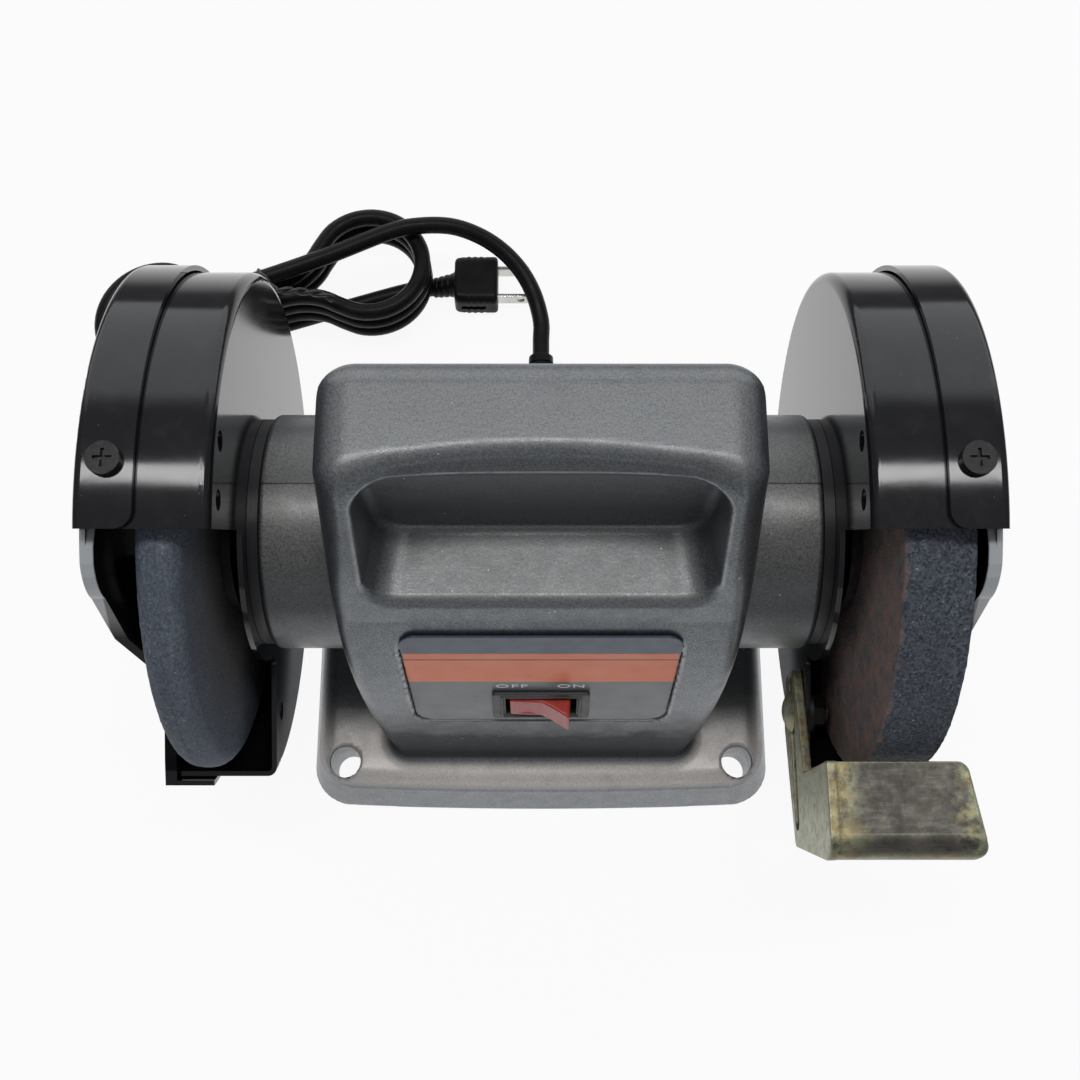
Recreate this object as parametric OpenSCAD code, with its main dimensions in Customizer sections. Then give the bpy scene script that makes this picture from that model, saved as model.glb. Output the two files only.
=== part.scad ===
// Bench grinder: a motor between two grinding wheels in sheet guards, on a cast housing with a base that
// screws down. Lengths are in millimetres. X runs along the shaft, Y to the back, Z up. The origin is at
// the centre of the base, on the bench.

/* [Base] */
// Width of the base along the shaft
base_w = 171; // [164:1:190]
// Depth of the base
base_d = 150; // [144:1:170]
// Height of the base skirt
base_h = 26; // [22:1:30]
// Corner radius of the base
base_corner_r = 12; // [10:1:14]
// Distance between the mounting holes along X
hole_pitch_x = 142; // [138:1:146]
// Distance between the mounting holes along Y
hole_pitch_y = 123; // [119:1:126]
// Diameter of the mounting holes
hole_d = 11; // [8:0.5:12]
// Wall of the skirt and of the base top
base_wall = 4; // [3:0.5:5]

/* [Housing] */
// Height of the shaft axis above the bench
axis_h = 106; // [104:1:112]
// Height of the housing top above the shaft axis
top_h = 86; // [82:1:90]
// Width of the housing where it meets the base
foot_w = 106; // [100:1:110]
// Depth of the housing where it meets the base
foot_d = 119; // [116:1:122]
// Width of the housing at its top
top_w = 123; // [121:1:126]
// Radius of the bow of the front and back panels
panel_r = 369; // [340:1:400]
// Lean of the front and back panels at the foot, in degrees
panel_lean = 2.6; // [2:0.1:3.5]
// Height of the shoulder above the shaft axis, where the front panel turns into the sloping face
shoulder_h = 26; // [22:1:28]
// Front end of the flat top, in front of the shaft axis
top_front = 1.6; // [0:0.1:4]
// Back end of the flat top, behind the shaft axis
top_back = 15.6; // [14:0.1:18]
// Rounding of the top edges
top_round = 6.3; // [5:0.1:7]
// Rounding of the top at its two ends
end_round = 10; // [8:0.5:11]
// Rounding of the upright edges
upright_round = 6; // [4:0.5:7]
// Rise of the blend between housing and base
foot_blend = 6.5; // [4:0.5:8]

/* [Hand grip] */
// Height of the grip floor above the shaft axis
grip_floor_h = 36; // [35.5:0.1:37]
// Depth of the grip's back wall in front of the shaft axis
grip_back = 10; // [9:0.5:11]
// Width of the grip at its mouth
grip_w = 104.6; // [100:0.2:108]
// Width of the grip at its floor
grip_floor_w = 92; // [88:1:96]

/* [Label and switch] */
// Width of the label at its upper edge
label_w = 86.6; // [82:0.2:90]
// Width of the label at its lower edge
label_low_w = 82.5; // [78:0.5:86]
// Height of the label
label_h = 60; // [58:1:64]
// Thickness of the label
label_t = 0.8; // [0.5:0.1:1]
// Lean of the label, in degrees
label_lean = 13.6; // [12:0.1:15]
// Width of the switch bezel
bezel_w = 31.5; // [28:0.5:33]
// Height of the switch bezel
bezel_h = 18.6; // [16:0.2:20]
// Width of the rocker
rocker_w = 20.4; // [18:0.2:21]

/* [Motor] */
// Outer radius of the end bells
bell_r = 37.4; // [37:0.1:39]
// Distance from the middle to the outer face of an end bell
bell_x = 84; // [82:0.5:84.5]
// Radius of the motor bore
motor_bore_r = 33.6; // [33:0.1:34]
// Length of the stator core
core_len = 60; // [50:1:64]
// Outer radius of the rotor
rotor_r = 18; // [16:0.5:20]
// Outer radius of the bearings
bearing_r = 17.5; // [15:0.5:18.5]
// Radius of the shaft in the bearings
journal_r = 7.5; // [7:0.1:8]
// Width of a bearing
bearing_w = 11; // [9:0.5:12]

/* [Wheels] */
// Diameter of the wheels
wheel_d = 150; // [140:1:152]
// Thickness of the right wheel
wheel_w_right = 19.6; // [13:0.2:20]
// Thickness of the left wheel
wheel_w_left = 12.5; // [10:0.5:20]
// Distance from the middle to the inner face of a wheel
wheel_x = 97.9; // [97:0.1:99]
// Diameter of the arbor
arbor_d = 12.7; // [12:0.1:12.7]
// Diameter of the wheel flanges
flange_d = 50; // [44:1:54]
// Thickness of an arbor nut
nut_h = 7; // [6:0.5:8]
// Width across flats of an arbor nut
nut_flats = 19; // [17:1:22]

/* [Guards] */
// Outer radius of the guard shells
guard_r = 82; // [81:0.5:84]
// Thickness of the guard sheet
sheet = 1.6; // [1.2:0.1:1.8]
// Distance from the middle to the outer face of a guard cover
cover_x = 123.5; // [122:0.5:126]
// Width of the rim of a guard cover
cover_rim = 16.1; // [14:0.5:18]
// Gap between a guard shell and the cover that fits over it
cover_gap = 0.6; // [0.4:0.1:0.8]
// Upper end of the guards, in degrees above the front
guard_top_deg = 72.5; // [68:0.5:78]
// Lower end of the guards, in degrees below the front
guard_low_deg = 27; // [24:1:34]
// Radius of the round spacer between an end bell and its guard
spacer_r = 36; // [34:0.5:36.5]
// Front edge of a cover disc, in front of the shaft axis
cover_cut = 43.5; // [40:0.5:46]
// Diameter of the bulge in the middle of a cover
bulge_d = 56; // [50:1:60]
// Diameter of the two eye shield holes in each guard
shield_hole_d = 6; // [5:0.5:7]

/* [Tool rest] */
// Thickness of the tool rest plate
rest_t = 3; // [2.5:0.1:3]
// Height of the rest table above the shaft axis
rest_top = 13.5; // [9:0.5:16]
// Gap between the rest table and the wheel
rest_gap = 1.4; // [1.3:0.1:3]
// Outer end of the rest table, at its front
rest_end_x = 131; // [126:0.5:133]
// How much shorter the rest table is at its rear edge
rest_end_cut = 5; // [0:0.5:7]
// Depth of the flat part of the rest table
rest_table_d = 21.5; // [18:0.5:26]
// Radius of the rest's bent front edge
rest_bend_r = 6.6; // [5:0.2:8]
// Diameter of the rest bolt
rest_bolt_d = 6; // [5:0.5:7]
// How far the rest slides out from where it stands
rest_slide = 8; // [6:0.5:9]

/* [Hidden] */

$fn = 64;
hull_fn = 32;     // facets of the pieces that a hull joins
fit = 0.1;        // clearance of pieces that sit in each other
run_fit = 0.05;   // clearance of a shaft in its bore
eps = 0.01;
far = 400;

housing_grey = [0.32, 0.33, 0.32];
guard_black = [0.05, 0.05, 0.055];
steel = [0.72, 0.72, 0.73];
zinc_yellow = [0.62, 0.58, 0.36];
rubber_black = [0.06, 0.06, 0.06];

// Housing
body_h = axis_h - base_h + shoulder_h;   // from the base top to the shoulder
bore_end = top_w / 2 - 4.5;              // where the counterbore for the end bells starts
cavity_w = foot_w - 2 * 6;               // width of the hollow below the motor
grip_round = 10;                         // rounding of the corners of the grip's mouth
grip_fillet = 4;                         // rounding of the grip's inner corners
grip_slope = 31.3;                       // lean of the sloping face, from the upright
grip_top_h = top_h - 7;                  // height of the upper edge of the grip's mouth
base_edge = 7;                           // rounding of the base's upper edge
draft = 3.8;                             // how far the skirt leans in, from the bench to that edge
mount_boss = 24;                         // width of the solid corner around a mounting hole
skirt_wall = base_wall + 3;              // wall of the skirt at the bench
hollow_w = base_w - 2 * skirt_wall;
hollow_d = base_d - 2 * skirt_wall;
plate_t = 1.2;
plate_z = 3;                             // height of the bottom plate above the bench
plate_gap = 1;
plate_screw_d = 4;
plate_corner = 6;
plate_screw_in = 10;                     // from the bottom plate's edges to its screws
plate_screw_len = 8;
plate_screw_head_r = 3.6;
plate_screw_head_h = 2;
plate_boss_r = 5;
plate_w = base_w - 2 * mount_boss - 2 * plate_gap;
plate_d = hollow_d - 2 * plate_gap;

function lean_at(h) = asin(sin(panel_lean) + h / panel_r);
function half_depth(h) = foot_d / 2 - panel_r * (cos(panel_lean) - cos(lean_at(h)));
function half_width(h) = foot_w / 2 + (top_w - foot_w) / 2 * min(1, sin(90 * h / body_h));

// Label and switch
label_drop = 1.75;                       // centre of the label below the middle of the panel
label_depth = 1.2;                       // depth of the label recess at its edges
label_mid_h = axis_h - 3.5;              // height of the middle of the panel
label_mid_y = -(half_depth(label_mid_h - base_h) - 1.1);
label_corner = 6;
switch_drop = 20;                        // centre of the switch below the middle of the panel
switch_body_h = 14;                      // height of the switch's rear body
switch_body_w = 27;
switch_body_d = 20;                      // depth of the switch behind the bezel
bezel_t = 1.6;
rocker_h = 11;
rocker_pivot = 3;                        // depth of the rocker pivot behind the bezel face
rocker_pin_d = 2.3;
rocker_gap = 0.5;
rocker_end_gap = 1.2;                    // room for the ends of the rocker as it tips
switch_gap = 0.5;
label_gap = 0.3;

// Motor
core_r = motor_bore_r - fit;
core_bore_r = rotor_r + 0.5;
winding_len = 10;
spigot_len = 12;
bell_wall = 4;
bearing_x = bell_x - 7 - bearing_w;      // inner face of the right bearing
hub_r = bearing_r + 4;
shaft_mid_r = journal_r + 1.5;
shoulder_x = wheel_x - 7.4;              // end of the journal, which the inner flange seats on
arbor_r = arbor_d / 2;
bell_edge = 1.8;
capacitor_r = 14;
capacitor_len = 46;
capacitor_y = 25;
clip_w = 12;
clip_t = 1;
clip_r = capacitor_r + 0.1;
capacitor_z = plate_z + plate_t + clip_t + clip_r;
winding_r = core_r - 4;

// Wheels
flange_t = 3;
flange_hub_r = 11;
wear_round = 5.5;                        // rounding of the left wheel's worn rim
paper_gap = 0.2;                         // gap that the paper washers of the wheels leave
outer_flange_x_right = wheel_x + wheel_w_right + paper_gap;
outer_flange_x_left = wheel_x + wheel_w_left + paper_gap;
outer_flange_t = 2.5;
shaft_end_x = outer_flange_x_right + outer_flange_t + nut_h + 1;

// Guards
guard_x = bell_x + rest_t + 0.4;         // face of the guard wall on the motor's side
shell_end_x = cover_x - 3;               // outer edge of the guard shell's band
shell_bend = 3;                          // outer radius of the bend between wall and band
cover_r = guard_r + cover_gap + sheet;
cover_bend = 2.4;
wall_cut_r = bell_r + 4;                 // radius of the disc that stays of the wall where it is open
cover_high = guard_r - 9;                // height of the upper end of the cover's cut-out
cover_high_y = 38;                       // from the shaft axis to the front of the rounding below it
cover_high_r = 16;
cover_front_z = 33;                      // height where the cut-out's edge turns straight down
cover_low_r = 22;
cover_low_deg = 20;
cover_low_z = -22.9;                     // height at which the cut-out's lower edge would meet its front edge
lip_w = 3.8;
bulge_x = shaft_end_x + 1.4 + sheet;     // outer face of the bulge
bulge_slope = 4;
cover_screw_deg = 85;                    // place of the cover screw, in degrees above the front
cover_screw_x = cover_x - 8.5;
cover_screw_d = 5;
screw_head_r = 4.6;
guard_screw_r = 28;                      // radius of the circle of the guard screws
guard_screw_d = 5;
shaft_hole_r = 13;
shield_holes = [[2, 73.6], [-14, 70.8]];
cover_low_end_deg = guard_low_deg - 2;
cover_screw_len = 6.5;
rim_corner = 5;                          // rounding of the corner of the cover's rim

// Tool rest
rest_x = guard_x - fit - rest_t;         // inner face of the rest plate
rest_under = rest_top - rest_t;          // height of the table's underside above the shaft axis
rest_rear = sqrt(pow(wheel_d / 2, 2) - pow(rest_under, 2)) + rest_gap;   // rear edge of the table
rest_pivot = [-51, -39];                 // the bolt, as Y and height from the shaft axis
rest_slot_w = rest_bolt_d + 0.6;
rest_slot_back = rest_slide + 1;         // from the bolt to the back end of the slot
rest_slot_front = 36;
rest_lip = 3;                            // straight part of the rest's front lip, below its bend
rest_head_r = 7;
rest_head_h = 3;
washer_t = 1.6;
washer_r = 8;
rest_nut_h = 4.6;
rest_nut_flats = 10;

// Cord, as points that its middle follows from the strain relief to the hank
cord_d = 7;
gland_z = 13;                            // height of the cord's way out above the bench
gland_r = 6.5;
gland_neck_r = 4.5;
gland_seat_y = 71.5;                     // seat of the gland's collar in the back of the skirt
gland_collar = 3;
gland_end_r = 5;
CORD = [[0, 105, 13], [0, 113, 13], [0, 121, 13.5], [-3, 132, 16], [-8.5, 141.5, 19], [-16.5, 149, 22.5],
    [-26, 153.5, 26.5], [-37, 155.5, 30], [-50, 154.5, 31.9], [-62, 151.5, 32]];
hank_r = 25;                             // outer radius of the loops at the ends of the hank
hank_h = 35.5;
hank_waist = 9;                          // half of the width of the hank at its tie
hank_neck = 38;                          // from the middle of a loop to the waist
HANK_RIGHT = [-70, 141];                 // middle of the right loop
HANK_LEFT = [-153, 113];
hank_run = HANK_RIGHT - HANK_LEFT;
hank_span = norm(hank_run);
tie_t = 1.3;
tie_w = 4;
plug_mid = [-36, 141, 7];                // middle of the plug's rear face
plug_len = 18;
plug_w = 22;
plug_h = 14;
plug_round = 4;
plug_neck_r = 5;                         // radius of the plug's neck where it leaves the plug
plug_neck_end_r = 3.8;
plug_neck_len = 12;
plug_neck_lean = 18;                     // how far the neck points down, in degrees
pin_len = 17;
pin_h = 6.3;
pin_t = 1.5;
pin_pitch = 12.7;

// ---- shared shapes ----

// Draws a flat outline in the Y-Z plane, with the shaft axis as its origin, and extrudes it along X.
module across(x, w) {
    translate([x, 0, axis_h]) rotate([90, 0, 90]) linear_extrude(w) children();
}

// A round bar along X.
module bar_x(x, w, r) {
    across(x, w) circle(r);
}

function polar(r, deg) = [-r * cos(deg), r * sin(deg)];
function arc(c, r, a0, a1, n) =
    [for (i = [0:n]) let (a = a0 + (a1 - a0) * i / n) c + r * [cos(a), sin(a)]];

// Turns a profile around the shaft: its first number is the radius and its second is the place along X.
module spin() {
    translate([0, 0, axis_h]) rotate([0, 90, 0]) rotate_extrude() children();
}

module quarter_disc(r) {
    intersection() {
        circle(r);
        square(r);
    }
}

// The section of a sheet's bend, a quarter ring of outer radius r.
module bend(r, t = sheet) {
    difference() {
        quarter_disc(r);
        circle(r - t);
    }
}

module rounded_plate(w, d, r, h) {
    linear_extrude(h) {
        square([w - 2 * r, d], center = true);
        square([w, d - 2 * r], center = true);
        for (x = [-1, 1], y = [-1, 1]) translate([x * (w / 2 - r), y * (d / 2 - r)]) circle(r);
    }
}

module pan_screw(d, len, head_r, head_h) {
    difference() {
        union() {
            cylinder(h = head_h, r = head_r);
            translate([0, 0, -len]) cylinder(h = len + eps, d = d);
        }
        for (a = [0, 90]) rotate(a) translate([-head_r * 0.55, -0.5, head_h - 1.1])
            cube([head_r * 1.1, 1, 2]);
    }
}

// ---- housing ----

module housing_block() {
    hull() {
        for (i = [0:4]) {
            h = body_h * i / 4;
            for (x = [-1, 1], y = [-1, 1])
                translate([x * (half_width(h) - upright_round), y * (half_depth(h) - upright_round),
                    base_h + h - 1]) cylinder(h = 1, r = upright_round, $fn = hull_fn);
        }
        for (x = [-1, 1], y = [-top_front, top_back])
            translate([x * (top_w / 2 - end_round), y, axis_h + top_h - top_round])
                scale([end_round / top_round, 1, 1]) sphere(top_round, $fn = hull_fn);
    }
}

module base_block() {
    hull() for (x = [-1, 1], y = [-1, 1]) {
        translate([x * (base_w / 2 - base_corner_r), y * (base_d / 2 - base_corner_r), 0])
            cylinder(h = 1, r = base_corner_r, $fn = hull_fn);
        translate([x * (base_w / 2 - draft - base_corner_r), y * (base_d / 2 - draft - base_corner_r),
            base_h - base_edge])
            rotate_extrude($fn = hull_fn) {
                square([base_corner_r - base_edge, base_edge]);
                translate([base_corner_r - base_edge, 0]) quarter_disc(base_edge, $fn = hull_fn);
            }
    }
}

module foot_chamfer() {
    hull() {
        translate([0, 0, base_h - eps])
            rounded_plate(foot_w + 2 * foot_blend, foot_d + 2 * foot_blend, upright_round + foot_blend, eps);
        translate([0, 0, base_h + foot_blend])
            rounded_plate(2 * half_width(foot_blend), 2 * half_depth(foot_blend), upright_round, eps);
    }
}

module grip_cutter() {
    out = [-cos(grip_slope), sin(grip_slope)];
    mouth_low = [-half_depth(body_h) - 2, grip_floor_h + 5];
    mouth_top = [-grip_back - grip_round, grip_top_h - grip_round];
    hull() for (x = [-1, 1]) {
        translate([x * (grip_floor_w / 2 - grip_fillet), -grip_back - grip_fillet,
            axis_h + grip_floor_h + grip_fillet])
            sphere(grip_fillet, $fn = hull_fn);
        for (k = [0, 60]) {
            translate([x * (grip_w / 2 - grip_round), mouth_top[0] + k * out[0],
                axis_h + mouth_top[1] + k * out[1]])
                sphere(grip_round, $fn = hull_fn);
            translate([x * (grip_w / 2 - grip_round), mouth_low[0] - k,
                axis_h + mouth_low[1] + grip_round / 2 - k / 8])
                sphere(grip_round, $fn = hull_fn);
        }
    }
}

// Moves what it draws onto the front panel: X across, Y up the panel and Z out of it.
module on_panel(drop = 0) {
    translate([0, label_mid_y, label_mid_h]) rotate([90 - label_lean, 0, 0]) translate([0, -drop, 0])
        children();
}

module label_outline(grow = 0) {
    r = label_corner;
    h = label_h / 2 + grow - r;
    top = label_w / 2 + grow - r;
    low = label_low_w / 2 + grow - r;
    slant = atan((top - low) / (2 * h));
    polygon(concat(arc([top, h], r, -slant, 90, 8), arc([-top, h], r, 90, 180 + slant, 8),
        arc([-low, -h], r, 180 + slant, 270, 8), arc([low, -h], r, 270, 360 - slant, 8)));
}

module motor_space() {
    bar_x(-far / 2, far, motor_bore_r);
    for (x = [0, 1]) mirror([x, 0, 0]) bar_x(bore_end, far, bell_r + fit);
}

module at_plate_screws() {
    for (x = [-1, 1], y = [-1, 1])
        translate([x * (plate_w / 2 - plate_screw_in), y * (plate_d / 2 - plate_screw_in), 0]) children();
}

module lower_space() {
    wall = 8;
    low = half_depth(0) - wall;
    high = half_depth(70) - wall;
    low_z = base_h - axis_h - 10;
    across(-cavity_w / 2, cavity_w) polygon([[-low, low_z], [-high, -10], [high, -10], [low, low_z]]);
    difference() {
        translate([0, 0, -1])
            rounded_plate(hollow_w, hollow_d, base_corner_r - base_wall, base_h - base_wall + 1);
        for (x = [-1, 1], y = [-1, 1])
            translate([x * base_w / 2, y * base_d / 2, base_h / 2])
                cube([2 * mount_boss, 2 * mount_boss, 2 * base_h], center = true);
        at_plate_screws() translate([0, 0, plate_z + plate_t]) cylinder(h = base_h, r = plate_boss_r);
    }
}

// The hollow of the carrying handle, behind the grip.
module handle_space() {
    wall = 4;
    front = -grip_back + wall;
    back = top_back - 1;
    translate([-grip_w / 2, front, axis_h + 20]) cube([grip_w, back - front, top_h - 20 - 7]);
}

module housing() {
    color(housing_grey) difference() {
        union() {
            housing_block();
            base_block();
            foot_chamfer();
        }
        grip_cutter();
        motor_space();
        lower_space();
        handle_space();
        for (x = [-1, 1], y = [-1, 1])
            translate([x * hole_pitch_x / 2, y * hole_pitch_y / 2, -1]) cylinder(h = base_h + 2, d = hole_d);
        on_panel(label_drop) translate([0, 0, -label_depth]) linear_extrude(20) label_outline(label_gap);
        on_panel(switch_drop)
            translate([-switch_body_w / 2 - switch_gap, -switch_body_h / 2 - switch_gap, -30])
                cube([switch_body_w + 2 * switch_gap, switch_body_h + 2 * switch_gap, 40]);
        translate([0, gland_seat_y + 20, gland_z]) rotate([90, 0, 0]) {
            cylinder(h = 20, r = gland_r + fit);
            cylinder(h = 20 + 12, r = gland_neck_r + fit);
        }
        at_plate_screws() cylinder(h = plate_z + plate_screw_len + 3, d = plate_screw_d);
    }
}

module bottom_plate() {
    color(steel) difference() {
        translate([0, 0, plate_z]) {
            rounded_plate(plate_w, plate_d, plate_corner, plate_t);
            rounded_plate(hollow_w - 2 * plate_gap, base_d - 2 * mount_boss - 2 * plate_gap, plate_corner,
                plate_t);
        }
        at_plate_screws() cylinder(h = 2 * (plate_z + plate_t), d = plate_screw_d + 1);
    }
}

module bottom_plate_screws() {
    color(steel) at_plate_screws() translate([0, 0, plate_z]) mirror([0, 0, 1])
        pan_screw(plate_screw_d - fit, plate_screw_len, plate_screw_head_r, plate_screw_head_h);
}

// ---- motor ----

// The right end bell. Its spigot sits in the motor's bore, and its boss holds a bearing.
module end_bell() {
    color(housing_grey) difference() {
        union() {
            bar_x(bore_end + fit, bell_x - bell_edge - bore_end - fit, bell_r);
            spin() translate([0, bell_x - bell_edge]) {
                square([bell_r - bell_edge, bell_edge]);
                translate([bell_r - bell_edge, 0]) quarter_disc(bell_edge);
            }
            bar_x(bore_end - spigot_len, spigot_len + 1, motor_bore_r - fit);
        }
        difference() {
            bar_x(bore_end - far, bell_x - bell_wall - bore_end + far, motor_bore_r - bell_wall);
            bar_x(bearing_x - 2, far, hub_r);
        }
        bar_x(0, bearing_x + bearing_w, bearing_r);
        bar_x(0, far, journal_r + 0.6);
        at_guard_screws() cylinder(h = 12, d = guard_screw_d);
    }
}

// Places what it draws at the three screws that hold the right guard, pointing into the end bell.
module at_guard_screws() {
    for (a = [90, 210, 330])
        translate([bell_x + fit, 0, axis_h]) rotate([a, 0, 0]) translate([0, guard_screw_r, 0])
            rotate([0, -90, 0]) children();
}

module stator_core() {
    slots = 24;
    color([0.45, 0.42, 0.40]) difference() {
        bar_x(-core_len / 2, core_len, core_r);
        bar_x(-far / 2, far, core_bore_r);
        for (i = [0:slots - 1])
            translate([0, 0, axis_h]) rotate([360 * i / slots, 0, 0]) translate([0, 0, core_bore_r + 5])
                cube([far, 1.6, 7], center = true);
    }
}

module stator_windings() {
    color([0.70, 0.38, 0.16]) for (x = [0, 1]) mirror([x, 0, 0]) difference() {
        union() {
            bar_x(core_len / 2 + fit, winding_len - 3, winding_r);
            bar_x(core_len / 2 + winding_len - 3, 3, winding_r - 2);
        }
        bar_x(0, far, core_bore_r + 1.5);
    }
}

module bearing() {
    color(steel) difference() {
        bar_x(bearing_x, bearing_w - fit, bearing_r - 0.02);
        bar_x(0, far, journal_r + run_fit);
        for (x = [bearing_x - 1, bearing_x + bearing_w - 1]) difference() {
            bar_x(x, 2, bearing_r - 3.2);
            bar_x(x - 1, 4, journal_r + 3);
        }
    }
}

module capacitor() {
    color([0.82, 0.82, 0.80]) translate([-capacitor_len / 2, capacitor_y, capacitor_z]) rotate([0, 90, 0]) {
        cylinder(h = capacitor_len, r = capacitor_r);
        for (y = [-5, 5]) translate([-0.4, y - 2, capacitor_len - eps]) cube([0.8, 4, 7]);
    }
}

module capacitor_clip() {
    foot = 8;
    color(steel) translate([-clip_w / 2, capacitor_y, capacitor_z]) rotate([0, 90, 0]) difference() {
        union() {
            cylinder(h = clip_w, r = clip_r + clip_t);
            translate([clip_r, -clip_r - foot, 0]) cube([clip_t, 2 * (clip_r + foot), clip_w]);
        }
        translate([0, 0, -1]) cylinder(h = clip_w + 2, r = clip_r);
        translate([-clip_r - 4, -6, -1]) cube([8, 12, clip_w + 2]);
    }
}

// ---- shaft and wheels ----

module shaft() {
    color(steel) {
        bar_x(-bearing_x, 2 * bearing_x, shaft_mid_r);
        bar_x(-shoulder_x, 2 * shoulder_x, journal_r);
        bar_x(-shaft_end_x + 1, 2 * shaft_end_x - 2, arbor_r);
        bar_x(-shaft_end_x, 2 * shaft_end_x, arbor_r - 1);
    }
}

module rotor() {
    color([0.55, 0.55, 0.56]) difference() {
        union() {
            bar_x(-core_len / 2 - 1, core_len + 2, rotor_r);
            for (x = [0, 1]) mirror([x, 0, 0]) bar_x(core_len / 2, 7, rotor_r - 2);
        }
        bar_x(-far / 2, far, shaft_mid_r);
    }
}

module inner_flange() {
    face = wheel_x - paper_gap;
    color(steel) difference() {
        union() {
            bar_x(shoulder_x, face - shoulder_x, flange_hub_r);
            bar_x(face - flange_t, flange_t, flange_d / 2);
        }
        bar_x(0, far, arbor_r + run_fit);
        difference() {
            bar_x(face - 0.8, 2, flange_d / 2 - 6);
            bar_x(0, far, flange_hub_r);
        }
    }
}

module outer_flange(x) {
    color(steel) difference() {
        bar_x(x, outer_flange_t, flange_d / 2);
        bar_x(0, far, arbor_r + run_fit);
        difference() {
            bar_x(x - 1, 1.8, flange_d / 2 - 6);
            bar_x(0, far, flange_hub_r);
        }
    }
}

module hex_nut(flats, h) {
    corner = flats / cos(30);
    intersection() {
        cylinder(h = h, d = corner, $fn = 6);
        union() {
            cylinder(h = h - 1.4, d = corner + 1);
            translate([0, 0, h - 1.4]) cylinder(h = 1.4, d1 = corner + 0.6, d2 = flats);
        }
    }
}

module arbor_nut(x) {
    color(steel) difference() {
        translate([x, 0, axis_h]) rotate([0, 90, 0]) hex_nut(nut_flats, nut_h);
        bar_x(0, far, arbor_r);
    }
}

module wheel_right() {
    color([0.36, 0.38, 0.42]) difference() {
        bar_x(wheel_x, wheel_w_right, wheel_d / 2);
        bar_x(0, far, arbor_r + run_fit);
    }
}

// The left wheel is worn: it is thinner, and its rim has gone round.
module wheel_left() {
    r = wheel_d / 2 - wear_round;
    color([0.30, 0.33, 0.37]) difference() {
        spin() translate([0, wheel_x]) {
            square([r, wheel_w_left]);
            translate([0, wear_round]) square([r + wear_round, wheel_w_left - 2 * wear_round]);
            translate([r, wheel_w_left - wear_round]) quarter_disc(wear_round);
            translate([r, wear_round]) mirror([0, 1]) quarter_disc(wear_round);
        }
        bar_x(0, far, arbor_r + run_fit);
    }
}

// ---- guards ----

module guard_spacer() {
    color(guard_black) difference() {
        bar_x(bell_x + fit, guard_x - bell_x - 2 * fit, spacer_r);
        bar_x(0, far, shaft_hole_r);
        at_guard_screws() cylinder(h = 40, d = guard_screw_d + 0.6, center = true);
    }
}

// The place in a guard's wall that is open, so that work can reach the wheel.
module wall_opening() {
    difference() {
        polygon([polar(wall_cut_r - 5, guard_top_deg), polar(far, guard_top_deg), polar(far, 20),
            polar(far, -guard_low_deg), polar(guard_r + 2, -guard_low_deg),
            polar(wall_cut_r + 4, -guard_low_deg - 6)]);
        circle(wall_cut_r);
    }
}

module guard_shell() {
    color(guard_black) difference() {
        spin() translate([0, guard_x]) {
            square([guard_r - shell_bend, sheet]);
            translate([guard_r - sheet, shell_bend]) square([sheet, shell_end_x - guard_x - shell_bend]);
            translate([guard_r - shell_bend, shell_bend]) mirror([0, 1]) bend(shell_bend);
        }
        across(0, far) wall_opening();
        bar_x(0, far, shaft_hole_r);
        at_guard_screws() cylinder(h = 40, d = guard_screw_d + 0.6, center = true);
        for (p = shield_holes) across(0, guard_x + 10) translate(p) circle(d = shield_hole_d);
        across(0, guard_x + 10) translate(rest_pivot) circle(d = rest_bolt_d + 2 * run_fit);
        at_cover_screw() cylinder(h = 30, d = cover_screw_d, center = true);
    }
}

// Places what it draws on the rim of the right cover, pointing away from the shaft.
module at_rim(x, deg) {
    translate([x, 0, axis_h]) rotate([90 - deg, 0, 0]) translate([0, 0, cover_r]) children();
}

module at_cover_screw() {
    at_rim(cover_screw_x, cover_screw_deg) children();
}

// The opening in the front of a guard cover's disc. It is larger by grow all round.
module disc_opening(grow = 0) {
    s = cover_low_deg;
    y = grow - cover_cut;
    r = cover_high_r - grow;
    high_mid = [cover_high_r - cover_high_y, cover_high - cover_high_r];
    k = cover_low_r + grow;
    low_z = cover_low_z - grow / cos(s) + grow * tan(s);
    low_mid = [y - k, low_z + k * tan((90 - s) / 2)];
    low_end = low_mid + k * [sin(s), -cos(s)];
    polygon(concat([[-far, high_mid[1] + r]], arc(high_mid, r, 90, 180, 12), [[y, cover_front_z]],
        arc(low_mid, k, 0, s - 90, 12), [low_end - far * [cos(s), sin(s)]]));
}

// The part of the rim that is open, between the two ends of the cover's rim.
module rim_opening() {
    difference() {
        polygon([[0, 0], polar(far, guard_top_deg), polar(far, 30), polar(far, 0),
            polar(far, -cover_low_end_deg)]);
        circle(cover_high / sin(guard_top_deg));
    }
}

module cover_profile() {
    wall_r = bulge_d / 2 + bulge_slope;
    translate([cover_r - sheet, cover_x - cover_rim]) square([sheet, cover_rim - cover_bend]);
    translate([cover_r - cover_bend, cover_x - cover_bend]) bend(cover_bend);
    translate([wall_r - eps, cover_x - sheet]) square([cover_r - cover_bend - wall_r + 2 * eps, sheet]);
    polygon([[wall_r, cover_x - sheet], [wall_r, cover_x], [bulge_d / 2, bulge_x], [0, bulge_x],
        [0, bulge_x - sheet], [bulge_d / 2 - sheet, bulge_x - sheet], [wall_r - sheet, cover_x - sheet]]);
}

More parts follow.
